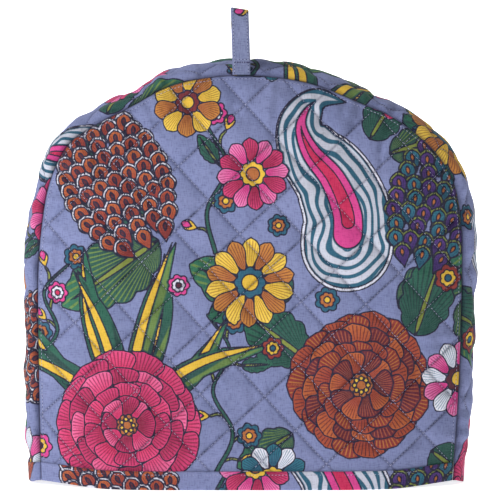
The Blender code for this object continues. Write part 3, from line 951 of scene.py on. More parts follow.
def full_flower(centre, radius, rings, inks, heart):
    """A round flower of overlapping rings. Columns of a ring: start and end of its petals as shares of
    the radius, number of petals (even), their fullness. Rings use two pairs of inks in turn."""
    shapes = []
    for number, (start, end, count, fullness) in enumerate(rings):
        for k in range(count):
            bearing = 2 * math.pi * (k + 0.37 * number) / count
            length = (end - start) * radius * (1.0 + 0.07 * math.sin(5.0 * k + number))
            width = 2 * math.pi * end * radius / count * fullness
            root = polar(centre, start * radius, bearing)
            ink = inks[2 * (number % 2) + k % 2]
            shapes.append((ink, petal(root, bearing, length, width, 0.70, 14), root, 9.0))
    size, ink, dots = heart
    shapes.append((ink, disc(centre, size * radius, 9, 0.14), None, 0.0))
    for k in range(dots):
        spot = polar(centre, 0.55 * size * radius, 2 * math.pi * k / dots)
        shapes.append(("sun", disc(spot, 0.13 * size * radius + 0.5, count=10), None, 0.0))
    return shapes


def daisy(centre, radius, count, inks, heart_inks, turn=0.0):
    """A single ring of petals round a small heart; the number of petals is even."""
    shapes = []
    width = 2 * math.pi * radius / count * 0.9
    for k in range(count):
        bearing = 2 * math.pi * k / count + turn
        outline = petal(polar(centre, 0.16 * radius, bearing), bearing, 0.86 * radius, width, 0.7)
        shapes.append((inks[k % 2], outline, np.array(centre), 13.0))
    shapes.append((heart_inks[0], disc(centre, 0.36 * radius, 8, 0.16), None, 0.0))
    shapes.append((heart_inks[1], disc(centre, 0.19 * radius), None, 0.0))
    return shapes


def floret(centre, radius, outer="petrol", middle="ochre", heart="sun"):
    """A small scalloped flower head."""
    return [(outer, disc(centre, radius, 7, 0.22), None, 0.0),
            (middle, disc(centre, 0.62 * radius, 7, 0.2), None, 0.0),
            (heart, disc(centre, 0.26 * radius, count=12), None, 0.0)]


print("a small flower has", len(floret((0, 0), 9)), "shapes")

# %% [markdown]
# Leaves have a rib and fine veins, long blades carry a yellow stripe and fan out in a tuft, and a spray is
# a stem with florets, buds and leaves on short stalks.

# %% Leaves, blades and sprays
VEINS_PER_MM = 0.18


def leaf(root, bearing, length, width, ink="leaf", rib="moss"):
    """A scalloped leaf with a lighter rib."""
    outline = petal(root, bearing, length, width, 0.42, 26, 0.16)
    middle = petal(root, bearing, 0.9 * length, 0.07 * width + 1.2, 0.3)
    return [(ink, outline, np.array(root), VEINS_PER_MM * length), (rib, middle, None, 0.0)]


def blade(root, bearing, length, width, bend, ink):
    """A long bent leaf with a yellow stripe along one side."""
    middle = polar(root, 0.55 * length, bearing + bend / 2)
    line = (root, middle, polar(middle, 0.5 * length, bearing + 1.6 * bend))
    off = polar((0, 0), 0.15 * width, bearing + math.pi / 2)
    inner = [tuple(np.array(point) + off) for point in line]
    return [(ink, ribbon(line, (0.45 * width, width, 0.85 * width, 0.5)), np.array(root), 5.0),
            ("sun", ribbon(inner, (0.1, 0.40 * width, 0.30 * width, 0.2)), None, 0.0)]


def tuft(root, length, width, blades):
    """Blades that fan out from one root. Columns of a blade: bearing, share of the length, bend."""
    shapes = []
    for number, (bearing, share, bend) in enumerate(blades):
        shapes += blade(root, bearing, share * length, width, bend, ("leaf", "fern")[number % 2])
    return shapes


def spray(points, width, heads):
    """A stem with florets, buds and small leaves at shares of its length.
    Columns of a head: share, side, reach, kind, size."""
    line = through_points(np.array(points, float), 10)
    tangent = np.gradient(line, axis=0)
    shapes, tops = [], []
    for share, side, reach, kind, size in heads:
        place = line[int(share * (len(line) - 1))]
        direction = tangent[int(share * (len(line) - 1))]
        bearing = math.atan2(direction[1], direction[0]) + side * 0.95
        end = polar(place, reach, bearing)
        bow = polar(place, 0.55 * reach, bearing - side * 0.25)
        if reach > 5.0:
            shapes.append(("moss", ribbon((place, bow, end), (width, 0.75 * width)), None, 0.0))
        if kind == "floret":
            tops += floret(end, size)
        elif kind == "rosy":
            tops += floret(end, size, "blush", "shell", "rose_one")
        elif kind == "bud":
            tops.append(("sun", petal(end, bearing, size, 0.62 * size, 0.6), end, 12.0))
            tops.append(("blush", petal(polar(end, 0.35 * size, bearing), bearing, 0.66 * size,
                                        0.4 * size, 0.6), None, 0.0))
        else:
            tops += leaf(end, bearing, size, 0.45 * size)
    stem = ("leaf", ribbon(points, (1.3 * width, width, 0.8 * width)), None, 0.0)
    return shapes + [stem] + tops


print("a leaf has", len(leaf((0, 0), 0.0, 50, 26)), "shapes")

# %% [markdown]
# A bud's rounded scales are laid from its far end to its root, so the rows overlap like tiles. A curled
# drop is a thick line, round at its start, with thinner ones printed on it.

# %% Scaled buds and curled drops
def cone(centre, length, width, bearing, inks, rim, spot):
    """A bud of overlapping rounded scales with a rim, in rows that use the inks in turn."""
    shapes = []
    axis, cross = polar((0, 0), 1.0, bearing), polar((0, 0), 1.0, bearing + math.pi / 2)
    rows = round(length / 9.0)
    for row in range(rows, -1, -1):
        share = row / rows
        half = width / 2 * math.sin(math.pi * (0.16 + 0.68 * share)) ** 0.8
        count = max(2, round(2 * half / 11.0)) + row % 2
        for k in range(count):
            side = (k - (count - 1) / 2) * 2 * half / count
            root = np.array(centre) + axis * ((share - 0.5) * length - 5.0) + cross * side
            lean = bearing + 0.6 * side / max(half, 1.0)
            shapes.append((rim, petal(root, lean, 18.5, 13.0, 0.66), None, 0.0))
            shapes.append((inks[(k + row) % len(inks)], petal(root, lean, 16.5, 10.4, 0.66), root, 8.0))
            shapes.append((spot, petal(polar(root, 8.0, lean), lean, 6.0, 2.8, 0.55, 8), None, 0.0))
    return shapes


def rounded(line, width):
    """Outline along a line, round at its start and thin at its end."""
    share = np.linspace(0.0, 1.0, len(line))[:, None]
    tangent = np.gradient(line, axis=0)
    tangent /= np.hypot(*tangent.T)[:, None]
    side = 0.5 * width * np.cos(0.5 * math.pi * share) * columns(-tangent[:, 1], tangent[:, 0])
    angle = np.linspace(-0.5 * math.pi, 0.5 * math.pi, 18)[1:-1, None]
    cap = line[0] - 0.5 * width * np.cos(angle) * tangent[0] + np.sin(angle) * side[0]
    return np.vstack([line + side, (line - side)[::-1], cap])


def drop(points, width, rim):
    """A curled drop with a pale rim, wavy bands and a pink middle."""
    line = through_points(np.array(points, float), 8)
    inner, core = line[3:-len(line) // 6], line[6:-len(line) // 3]
    return [("shell", rounded(line, width + rim), None, 0.0), ("wave", rounded(line, width), None, -6.0),
            ("blush", rounded(inner, 0.34 * width), None, 0.0),
            ("rose_one", rounded(core, 0.15 * width), None, 0.0)]


print("a scaled bud has", len(cone((0, 0), 88, 66, 0.0, ("grape",), "moss", "sun")), "shapes")

# %% [markdown]
# ## Laying out one repeat
# The repeat is about as large as a panel. Leaves and stems are printed first and the large flowers over
# them, with daisies and florets in what ground is left. Every other column of the repeat is moved up by
# half its height, so that no straight rows show.

# %% One repeat of the print
DAHLIA = ((0.48, 1.0, 14, 1.42), (0.32, 0.80, 12, 1.4), (0.16, 0.60, 10, 1.35), (0.05, 0.38, 8, 1.3))
MUM = ((0.46, 1.0, 18, 1.5), (0.30, 0.83, 16, 1.45), (0.18, 0.65, 14, 1.4), (0.08, 0.47, 10, 1.3))
ROSES = ("rose_one", "rose_two", "rose_three", "rose_four")
RUSTS = ("rust_one", "rust_two", "rust_three", "wine")
TUFT = ((2.75, 0.86, -0.35), (0.40, 0.84, 0.35), (2.40, 0.95, 0.30), (0.76, 0.98, -0.30),
        (2.05, 1.04, -0.22), (1.10, 1.0, 0.22), (1.72, 0.92, 0.18), (1.42, 1.08, -0.12))

REPEAT = (
    leaf((-64, 176), 3.75, 84, 42, "fern") + leaf((-70, 190), 2.75, 72, 38)
    + leaf((-112, 226), 1.9, 62, 32, "fern") + leaf((22, 132), 2.75, 70, 38, "fern")
    + leaf((30, 150), 3.6, 66, 34) + leaf((104, 128), 0.55, 66, 34, "fern")
    + leaf((116, 108), 1.25, 64, 34) + leaf((40, 92), 2.5, 58, 34)
    + leaf((128, 26), 5.6, 60, 32) + leaf((150, 132), 5.2, 56, 28, "fern")
    + leaf((84, 246), 1.0, 50, 26) + leaf((98, 236), 0.3, 48, 24, "fern")
    + leaf((30, 40), 3.7, 46, 24, "fern")
    + spray([(-150, 90), (-136, 112), (-146, 138), (-126, 160)], 2.2, (
        (0.10, 1, 13, "floret", 9), (0.34, 1, 10, "bud", 12), (0.52, -1, 14, "rosy", 8),
        (0.78, 1, 11, "bud", 12), (1.00, 0, 5, "floret", 9)))
    + spray([(-24, 12), (-12, 40), (-26, 70), (-14, 98), (-30, 124)], 2.2, (
        (0.08, -1, 12, "bud", 12), (0.22, -1, 13, "floret", 9), (0.36, 1, 11, "bud", 12),
        (0.56, 1, 15, "rosy", 8.5), (0.66, -1, 12, "leaf", 22), (0.84, -1, 14, "floret", 9)))
    + spray([(-24, 166), (-30, 196), (-16, 228), (-32, 262), (-26, 300)], 2.2, (
        (0.14, 1, 9, "bud", 12), (0.28, -1, 13, "floret", 9), (0.46, 1, 10, "leaf", 24),
        (0.62, -1, 12, "bud", 12), (0.72, -1, 11, "rosy", 8.5)))
    + tuft((-86, 52), 112, 17, TUFT)
    + drop([(68, 172), (68, 194), (58, 218), (42, 238), (36, 258), (48, 274), (68, 272)], 60, 5.0)
    + cone((-92, 212), 88, 66, 2.05, ("rust_one", "rust_three"), "shell", "wine")
    + full_flower((-86, 46), 52, DAHLIA, ROSES, (0.15, "ochre", 7))
    + full_flower((78, 74), 51, MUM, RUSTS, (0.17, "ochre", 8))
    + cone((128, 196), 76, 54, 1.35, ("grape", "petrol"), "moss", "ochre")
    + daisy((0, 146), 31, 14, ("ochre", "sun"), ("petrol", "sun"), 0.2)
    + daisy((16, 8), 25, 12, ("petrol", "shell"), ("sun", "rust_one"), 0.5)
    + daisy((2, 222), 25, 12, ("blush", "rose_two"), ("sun", "ochre"), 0.1)
    + daisy((148, 76), 27, 12, ("blush", "shell"), ("wine", "sun"), 0.4)
    + daisy((-44, 272), 24, 10, ("sun", "ochre"), ("rust_two", "sun"), 0.3)
    + daisy((106, 284), 25, 12, ("rose_one", "blush"), ("sun", "wine"), 0.2)
    + floret((54, 134), 9) + floret((-150, 28), 10, "blush", "sun", "wine")
    + floret((16, 100), 8, "rust_one", "sun", "petrol") + floret((-50, 144), 8, "blush", "shell", "wine")
    + floret((140, 148), 10, "rust_one", "sun", "petrol") + floret((20, 186), 8)
)
print("print:", len(REPEAT), "shapes in", len(INKS), "inks")

# %% [markdown]
# The distance to an outline is the shortest one to its straight pieces. A point lies inside if the outline
# winds round it, which also holds where an outline crosses itself.

# %% Distance to an outline
def signed_distance(points, outline):
    """Distance from each point to a closed outline, negative inside it."""
    start, run = outline, np.roll(outline, -1, axis=0) - outline
    length = np.maximum((run * run).sum(axis=1), 1e-9)
    offset = points[:, None, :] - start[None]
    share = np.clip((offset * run).sum(axis=-1) / length, 0.0, 1.0)
    distance = np.linalg.norm(offset - share[..., None] * run, axis=-1).min(axis=1)
    end = start + run
    turn = np.cross(run[None], offset)
    upward = (start[None, :, 1] <= points[:, None, 1]) & (end[None, :, 1] > points[:, None, 1])
    downward = (start[None, :, 1] > points[:, None, 1]) & (end[None, :, 1] <= points[:, None, 1])
    winding = (upward & (turn > 0)).sum(axis=1) - (downward & (turn < 0)).sum(axis=1)
    return np.where(winding != 0, -distance, distance)


print("from a disc's middle to its edge:", signed_distance(np.zeros((1, 2)), disc((0, 0), 10)).round(2))

# %% [markdown]
# Each shape is printed over those before it: inside its outline its own ink comes nearer, and all others
# are pushed out. Only the mesh points near a shape are worked on.

# %% Print the cloth
FAR = 30.0
MARGIN = 3.0
TILE_WIDTH = 330.0
TILE_HEIGHT = 304.0
REACH_SIDEWAYS = 230
REACH_UP = 330
REACH_DOWN = 30
PLAIN_TIP = 0.3
BAND_WOBBLE = 0.5
BAND_WOBBLE_SIZE = 15.0


def printed(points):
    """Print attributes of flat points in millimetres: a distance for each ink, lines and tips."""
    fields = {ink: np.full(len(points), FAR) for ink in INKS}
    lines, tips = np.zeros(len(points)), np.zeros(len(points))
    tiles = np.arange(math.floor((points[:, 0].min() - REACH_SIDEWAYS) / TILE_WIDTH) + 1,
                      math.ceil((points[:, 0].max() + REACH_SIDEWAYS) / TILE_WIDTH))
    for column in tiles:
        slip = TILE_HEIGHT / 2 * (column % 2)
        rows = np.arange(math.floor((points[:, 1].min() - slip - REACH_UP) / TILE_HEIGHT) + 1,
                         math.ceil((points[:, 1].max() - slip + REACH_DOWN) / TILE_HEIGHT))
        for row in rows:
            shift = np.array([column * TILE_WIDTH, row * TILE_HEIGHT + slip])
            for ink, outline, root, spread in REPEAT:
                placed = outline + shift
                low, high = placed.min(axis=0) - MARGIN, placed.max(axis=0) + MARGIN
                near = np.flatnonzero(((points > low) & (points < high)).all(axis=1))
                if not len(near):
                    continue
                signed = signed_distance(points[near], placed)
                for key, field in fields.items():
                    if key == ink:
                        field[near] = np.minimum(field[near], signed)
                    else:
                        field[near] = np.maximum(field[near], -signed)
                inside = near[signed < 0.0]
                if root is not None:
                    offset = points[inside] - root - shift
                    reach = np.hypot(*offset.T)
                    lines[inside] = np.arctan2(offset[:, 1], offset[:, 0]) * spread
                    tips[inside] = reach / max(np.hypot(*(outline - root).T).max(), 1.0)
                elif spread < 0.0:
                    lines[inside] = (signed[signed < 0.0] / spread
                                     + BAND_WOBBLE * hills(points[inside], BAND_WOBBLE_SIZE, 8))
                    tips[inside] = 0.0
                else:
                    lines[inside], tips[inside] = 0.0, PLAIN_TIP
    return fields, lines, tips


print("one repeat is", round(TILE_WIDTH), "by", round(TILE_HEIGHT), "mm")

# %% [markdown]
# ## Where each piece was cut
# Every piece comes from another stretch of the same cloth. A dress function turns a piece's flat points
# into the print's millimetres and stores what the shader will read: the ink distances, the fine lines, the
# place on the cloth for the weave, the place in the diamonds for the quilting, and the distance from the
# seam. The diamonds and the seam distance also set the shade painted along the quilted lines and seams.

# %% Attributes of the printed pieces
# How far the painted shade beside the seams reaches on a panel and on the gusset.
PANEL_SHADE_REACH = 1.8 * MM
GUSSET_SHADE_REACH = 6.5 * MM


def cloth_attributes(flat_mm, quilt=None, seam_room=None):
    """All attributes of points that lie at the given millimetres of the cloth. Quilt is their place in
    the diamonds, and the seam room grows from 0 in the seam to 1 where the painted seam shade ends."""
    fields, lines, tips = printed(flat_mm)
    zero = np.zeros(len(flat_mm))
    made = {"ink_" + ink: field for ink, field in fields.items()}
    made["ink_lines"], made["ink_tips"] = lines, tips
    made["cloth"] = columns(flat_mm[:, 0] * MM, flat_mm[:, 1] * MM, zero)
    across, up = quilt if quilt else (zero + 0.5, zero + 0.5)
    made["diamond"] = columns(across, up, zero)
    made["seam_room"] = zero + 1.0 if seam_room is None else np.clip(seam_room, 0.0, 1.0)
    return made


def panel_room(points):
    """0 in the seam and 1 where the painted shade beside it ends."""
    return seam.nearest(points)[0] / PANEL_SHADE_REACH


def gusset_room(points):
    """The same for the nearer seam of the gusset."""
    return np.minimum(points[:, 1], band_width - points[:, 1]) / GUSSET_SHADE_REACH


def dress_shell(cut_at, turn, quilting, room):
    """Cut a shell from the cloth with its flat origin at the given millimetres, turned."""
    def dress(points):
        flat = turned(points / MM, turn) + np.array(cut_at)
        return cloth_attributes(flat, quilt_coordinates(points, *quilting[:2]), room(points))

    return dress


def dress_strip(cut_at, turn, flat_of):
    """Cut a strip: flat_of gives the flat metres of a point at a station and a row."""
    def dress(station, row, places):
        return cloth_attributes(turned(flat_of(station, row) / MM, turn) + np.array(cut_at))

    return dress


print("grooves:", round(PANEL_SHADE_REACH / MM, 1), "and", round(GUSSET_SHADE_REACH / MM, 1), "mm wide")

# %% [markdown]
# Now the pieces are cut and formed. Each says where on the cloth it comes from, in millimetres, and how far
# it was turned there.

# %% Cut all pieces from the cloth
section_of_binding = along(columns(BINDING[:, 1] * BINDING_HEIGHT, BINDING[:, 0] * MM))
section_of_loop = np.concatenate([np.linspace(0, LOOP_WIDTH, len(loop_section) // 2),
                                  np.linspace(LOOP_WIDTH, 0, len(loop_section) // 2)])


def binding_flat(station, row):
    """Flat place of a point of a binding."""
    return columns(station * BINDING_STEP, -section_of_binding[row])


def loop_flat(station, row):
    """Flat place of a point of the loop's strip."""
    return columns(section_of_loop[row], loop_run[station])


PIECES = {
    "front_panel": make_panel("front_panel_cloth", -1, FRONT_QUILTING, FRONT_CREASES, QUILT_PITCH / 28,
                              dress_shell((0, 0), 0.0, FRONT_QUILTING, panel_room)),
    "back_panel": make_panel("back_panel_cloth", 1, BACK_QUILTING, BACK_CREASES, QUILT_PITCH / 25,
                             dress_shell((410, 77), math.pi, BACK_QUILTING, panel_room)),
    "gusset": make_gusset("gusset_cloth", dress_shell((-850, 210), 0.12, GUSSET_QUILTING, gusset_room)),
    "binding_front": make_panel_binding("binding_front_cloth", -1, FRONT_QUILTING, FRONT_CREASES,
                                        dress_strip((-150, 226), -0.05, binding_flat)),
    "binding_back": make_panel_binding("binding_back_cloth", 1, BACK_QUILTING, BACK_CREASES,
                                       dress_strip((500, 60), 0.07, binding_flat)),
    "binding_gusset_left": make_gusset_binding("binding_gusset_left_cloth",
                                               dress_strip((700, 40), 0.1, binding_flat)),
    "hanging_loop": make_loop("hanging_loop_cloth", dress_strip((-50.6, 135.7), 0.0, loop_flat)),
}
print("cut and formed:", len(PIECES), "pieces")

# %% [markdown]
# ## Shader maths as formulas
# A material is easier to read as a formula than as a list of nodes and links. The small class below wraps
# one socket of a node tree. Adding, subtracting or multiplying wrapped values adds the Math nodes, also
# with a plain number on the left, as in 1 - mask. Colours go through Mix nodes instead, because a Math node
# would turn them grey.

# %% Wrap sockets in formulas
class Value:
    """One number socket of a node tree, for use in formulas."""

    def __init__(self, sheet, socket):
        self.sheet, self.socket = sheet, socket

    def maths(self, operation, *parts):
        """The result of a Math node on numbers or wrapped values."""
        node = self.sheet.node("ShaderNodeMath", {"operation": operation}, dict(enumerate(parts)))
        return Value(self.sheet, node.outputs[0])

    def __add__(self, other):
        return self.maths("ADD", self, other)

    __radd__ = __add__

    def __mul__(self, other):
        return self.maths("MULTIPLY", self, other)

    __rmul__ = __mul__

    def __sub__(self, other):
        return self.maths("SUBTRACT", self, other)

    def __rsub__(self, other):
        return self.maths("SUBTRACT", other, self)

    def __abs__(self):
        return self.maths("ABSOLUTE", self)

    def call(self, operation, *others):
        """Any other maths operation, such as SINE or MINIMUM."""
        return self.maths(operation, self, *others)


print("formulas know +, -, * and abs")

# %% [markdown]
# Every other node comes from one method, which sets the node first and then its sockets: a number or a
# colour is stored, and another socket is linked. Each node lies a step further to the right.

# %% Lay out nodes
NODE_STEP = 220
NODE_ROW = -200
NODES_IN_ROW = 30


class Sheet:
    """A node tree on which nodes are laid from left to right."""

    def __init__(self, tree):
        self.tree = tree
        tree.nodes.clear()

    def node(self, kind, settings=None, sockets=None):
        """A new node with its settings, and its sockets set or linked."""
        made = self.tree.nodes.new(kind)
        row, place = divmod(len(self.tree.nodes), NODES_IN_ROW)
        made.location = (NODE_STEP * place, NODE_ROW * row)
        for key, value in (settings or {}).items():
            setattr(made, key, value)
        for key, value in (sockets or {}).items():
            value = value.socket if isinstance(value, Value) else value
            if isinstance(value, bpy.types.NodeSocket):
                self.tree.links.new(value, made.inputs[key])
            else:
                made.inputs[key].default_value = value
        return made

    def number(self, attribute):
        """A number that the mesh keeps at each point."""
        return Value(self, self.node("ShaderNodeAttribute", {"attribute_name": attribute}).outputs["Fac"])

    def vector(self, attribute):
        """A vector that the mesh keeps at each point."""
        return self.node("ShaderNodeAttribute", {"attribute_name": attribute}).outputs["Vector"]

    def pair(self, attribute):
        """The first two parts of a vector attribute."""
        parts = self.node("ShaderNodeSeparateXYZ", {}, {0: self.vector(attribute)}).outputs
        return Value(self, parts[0]), Value(self, parts[1])

    def ramp(self, value, low, high, start=0.0, end=1.0):
        """The value carried from low..high to start..end and held there."""
        sockets = {0: value, 1: low, 2: high, 3: start, 4: end}
        return Value(self, self.node("ShaderNodeMapRange", {"clamp": True}, sockets).outputs[0])

    def blend(self, share, first, second):
        """A colour between two colours."""
        sockets = {0: share, 6: first, 7: second}
        return self.node("ShaderNodeMix", {"data_type": "RGBA"}, sockets).outputs[2]

    def noise(self, vector, scale, detail=2.0):
        """Soft noise from 0 to 1 over a vector."""
        sockets = {"Vector": vector, "Scale": scale, "Detail": detail}
        return Value(self, self.node("ShaderNodeTexNoise", {}, sockets).outputs[0])


print("node rows are", NODES_IN_ROW, "nodes long")

# %% [markdown]
# Cloth and thread share one matt finish: rough, with a faint sheen from loose fibres, and a bump for relief
# too fine for the mesh. Colours are written as they show on a screen and turned into linear values.

# %% Colours and the matt finish
SHEEN_ROUGHNESS = 0.45
SPECULAR_LEVEL = 0.18


def colour(display, lift=1.0):
    """A display colour such as #1D6A45 as the linear colour that shaders use."""
    parts = [int(display[start:start + 2], 16) / 255.0 for start in (1, 3, 5)]
    linear = [part / 12.92 if part <= 0.04045 else ((part + 0.055) / 1.055) ** 2.4 for part in parts]
    return tuple(lift * part for part in linear) + (1.0,)


def new_material(name):
    """A material and the sheet of its empty node tree."""
    made = bpy.data.materials.new(name)
    made.use_nodes = True
    return made, Sheet(made.node_tree)


def finish_cloth(sheet, base, roughness, height, depth, sheen=0.05):
    """The matt cotton shader: a colour, a roughness and a height for its bump."""
    bump = sheet.node("ShaderNodeBump", {}, {"Strength": 1.0, "Distance": depth, "Height": height})
    shader = sheet.node("ShaderNodeBsdfPrincipled", {}, {
        "Base Color": base, "Roughness": roughness, "Normal": bump.outputs[0]})
    shader.inputs["Sheen Weight"].default_value = sheen
    shader.inputs["Sheen Roughness"].default_value = SHEEN_ROUGHNESS
    shader.inputs["Specular IOR Level"].default_value = SPECULAR_LEVEL
    sheet.node("ShaderNodeOutputMaterial", {}, {"Surface": shader.outputs[0]})


print("mid grey in a shader:", round(colour("#808080")[0], 3))

# %% [markdown]
# ## Printed cotton
# The ground is a dyed blue grey. Each ink is laid over it where its distance is below zero, with an edge
# a third of a millimetre soft, as ink sinks into cotton. A dark line is drawn wherever an ink ends. Fine
# lines fan through the petals and leaves. Under all this lies the plain weave: warp and weft threads of
# 0.4 mm, with thicker slubs here and there, which change the colour a little and roughen the surface.

# %% Weave the cotton
THREAD_PITCH = 0.42 * MM
SLUB_SCALE = 1700.0
SLUB_STRETCH = 0.12


def woven(sheet):
    """Height of the plain weave, and the slubs in it."""
    warp, weft = sheet.pair("cloth")
    turns = 2 * math.pi / THREAD_PITCH
    weave = (warp * turns).call("SINE") * (weft * turns).call("SINE")
    stretched = sheet.node("ShaderNodeCombineXYZ", {}, {0: warp * SLUB_STRETCH, 1: weft, 2: 0.0}).outputs[0]
    upright = sheet.node("ShaderNodeCombineXYZ", {}, {0: warp, 1: weft * SLUB_STRETCH, 2: 4.0}).outputs[0]
    slubs = sheet.noise(stretched, SLUB_SCALE) + sheet.noise(upright, SLUB_SCALE) - 1.0
    return weave, slubs


print("weave:", round(MM / THREAD_PITCH, 1), "threads to a millimetre")

# %% [markdown]
# The inks are mixed three times side by side: in their main colours, those of their tips and those of their
# fine lines, and the mesh's own numbers choose between them. Last come wear, and a painted shade along the
# quilted lines and beside the seams.

# %% Mix the printed cotton
GROUND = "#767FAA"
GROUND_PALE = "#838BB6"
OUTLINE = "#0F0B2A"
EDGE_SOFTNESS = 0.32
OUTLINE_EDGE = (0.30, 0.66)
TIP_START = 0.45
LINE_SHARE = 0.13
BAND_SHARE = 0.25
LINE_SOFTNESS = 0.08
LINE_STRENGTH = 0.8
WRINKLE_SCALE = 130.0
WRINKLES = 9.0
# Width and darkness of the painted shade along the quilted lines, and darkness of the painted shade beside
# the seams.
QUILTING_SHADE = (0.1 * MM / QUILT_PITCH, 2.2 * MM / QUILT_PITCH)
QUILTING_PAINTED_SHADE = 0.66
SEAM_PAINTED_SHADE = 0.8


def printed_cotton(name, ground, ground_pale, weave_height):
    """The cotton with its print, its weave, and shade painted into its colour along the quilted lines and
    seams.
    """
    made, sheet = new_material(name)
    cloth = sheet.vector("cloth")
    weave, slubs = woven(sheet)
    cloud = sheet.noise(cloth, 28.0, 3.0)
    body = sheet.blend(sheet.ramp(cloud + 0.5 * slubs, 0.3, 0.75), colour(ground), colour(ground_pale))
    tip_layer = vein_layer = body
    edges, depth, share = None, None, LINE_SHARE
    for ink, (main, far, fine) in INKS.items():
        distance = sheet.number("ink_" + ink)
        mask = sheet.ramp(distance, -EDGE_SOFTNESS / 2, EDGE_SOFTNESS / 2, 1.0, 0.0)
        body = sheet.blend(mask, body, colour(main))
        tip_layer = sheet.blend(mask, tip_layer, colour(far))
        vein_layer = sheet.blend(mask, vein_layer, colour(fine))
        if ink == "wave":
            share = mask * (BAND_SHARE - LINE_SHARE) + LINE_SHARE
        edge = abs(distance)
        edges = edge if edges is None else edges.call("MINIMUM", edge)
        depth = distance if depth is None else depth.call("MINIMUM", distance)
    tips = sheet.number("ink_tips")
    inked = sheet.blend(sheet.ramp(tips, TIP_START, 1.0), body, tip_layer)
    lines = sheet.number("ink_lines")
    beside = abs(lines.call("FRACT") - 0.5)
    fine = sheet.ramp(beside, share, share + LINE_SOFTNESS, 1.0, 0.0)
    fine = fine * sheet.ramp(depth, -1.4, -0.7, 1.0, 0.0) * sheet.ramp(abs(lines), 0.0, 0.02)
    inked = sheet.blend(fine * LINE_STRENGTH, inked, vein_layer)
    rough_edge = edges + 0.35 * slubs
    outline = sheet.ramp(rough_edge, *OUTLINE_EDGE, 1.0, 0.0)
    inked = sheet.blend(outline, inked, colour(OUTLINE))
    thread_shade = sheet.ramp(0.16 * weave + 0.9 * slubs, -0.5, 0.5)
    worn = sheet.blend(thread_shade * 0.10, inked, colour("#B9BACD"))
    shaded = sheet.blend(sheet.ramp(slubs, 0.0, -0.5) * 0.5, worn, colour("#15122E"))
    # Painted shade: the colour darkens towards a deep violet along the quilted lines and beside the seams,
    # where the grooves lie in shade.
    across, up = (abs((part + 0.5).call("FRACT") - 0.5) for part in sheet.pair("diamond"))
    painted_line_shade = sheet.ramp(across.call("MINIMUM", up), *QUILTING_SHADE, QUILTING_PAINTED_SHADE, 0.0)
    painted_seam_shade = sheet.ramp(sheet.number("seam_room"), 0.0, 1.0, SEAM_PAINTED_SHADE, 0.0)
    painted_groove_shade = painted_line_shade.call("MAXIMUM", painted_seam_shade)
    shaded = sheet.blend(painted_groove_shade * painted_groove_shade, shaded, colour("#17142F"))
    roughness = sheet.ramp(slubs, -0.4, 0.4, 0.86, 0.97)
    wrinkles = abs(sheet.noise(cloth, WRINKLE_SCALE, 3.0) - 0.5)
    finish_cloth(sheet, shaded, roughness, weave * 0.5 + 1.4 * slubs + WRINKLES * wrinkles, weave_height)
    return made


cotton = printed_cotton("printed_cotton", GROUND, GROUND_PALE, 0.07 * MM)
# The loop's cotton has a darker ground than the rest, as painted shade on the loop, and a deeper weave
# bump.
shaded_loop_cotton = printed_cotton("printed_cotton_loop_painted_shade", "#6E779C", "#858DB2", 0.12 * MM)
print("printed cotton:", len(cotton.node_tree.nodes), "nodes")

# %% [markdown]
# The inner side is the cotton's plain reverse. Its quilting thread is painted as dashes, because threads
# of real geometry there would cost many triangles that hardly anyone sees.

# %% Mix the reverse and dress the pieces
INNER_STITCH = 2.8 * MM
INNER_THREAD = (0.25 * MM / QUILT_PITCH, 0.5 * MM / QUILT_PITCH)
THREAD_SHARE = 0.66


def cotton_reverse(name):
    """The unprinted inner side, with faint clouds of the print and the lines of the quilting thread."""
    made, sheet = new_material(name)
    cloth = sheet.vector("cloth")
    weave, slubs = woven(sheet)
    cloud = sheet.ramp(sheet.noise(cloth, 45.0, 3.0), 0.3, 0.7)
    base = sheet.blend(cloud, colour("#9496B0"), colour("#A6A7BE"))
    base = sheet.blend(sheet.ramp(slubs, -0.4, 0.4) * 0.3, base, colour("#8284A4"))
    places = sheet.pair("diamond")
    for place, run in (places, places[::-1]):
        beside = abs((place + 0.5).call("FRACT") - 0.5)
        stitched = (run * (QUILT_PITCH / INNER_STITCH)).call("FRACT").call("LESS_THAN", THREAD_SHARE)
        base = sheet.blend(sheet.ramp(beside, *INNER_THREAD, 0.75, 0.0) * stitched, base, colour("#4E5174"))
    finish_cloth(sheet, base, sheet.ramp(slubs, -0.4, 0.4, 0.88, 0.97), weave * 0.5 + slubs, 0.06 * MM)
    return made


reverse = cotton_reverse("cotton_reverse")
for node, piece in PIECES.items():
    piece.data.materials.append(shaded_loop_cotton if node == "hanging_loop" else cotton)
    piece.data.materials.append(reverse)
print("materials:", cotton.name, shaded_loop_cotton.name, reverse.name)

# %% [markdown]
# ## Stitches
# A sewing machine lays down the same short stitch thousands of times, so Geometry Nodes place it. First the
# script traces each sewn line on the finished surface and stores the direction in which the cloth faces.
# The node tree then cuts the line into stitches of one pitch, and puts a small grain of thread and a needle
# hole at each, turned along the line and lying on the cloth. The hole is a dimple coloured dark as painted
# shade.

# %% Trace sewn lines on a surface
TRACE_STEP = 1.0 * MM
FACING_STEP = 4.0 * MM


def facing(surface, flat):
    """Outward direction of a surface at flat points, averaged over the puffs beside them."""
    steps = np.array([(FACING_STEP, 0.0), (0.0, FACING_STEP)])
    first, second = (surface(flat + step) - surface(flat - step) for step in steps)
    normal = np.cross(first, second)
    return normal / np.linalg.norm(normal, axis=1)[:, None]


def runs_of(flat, kept):
    """The stretches of a line whose points are all kept."""
    edges = np.flatnonzero(np.diff(np.concatenate([[0], kept.astype(int), [0]])))
    return [flat[start:end] for start, end in zip(edges[::2], edges[1::2]) if end - start > 4]


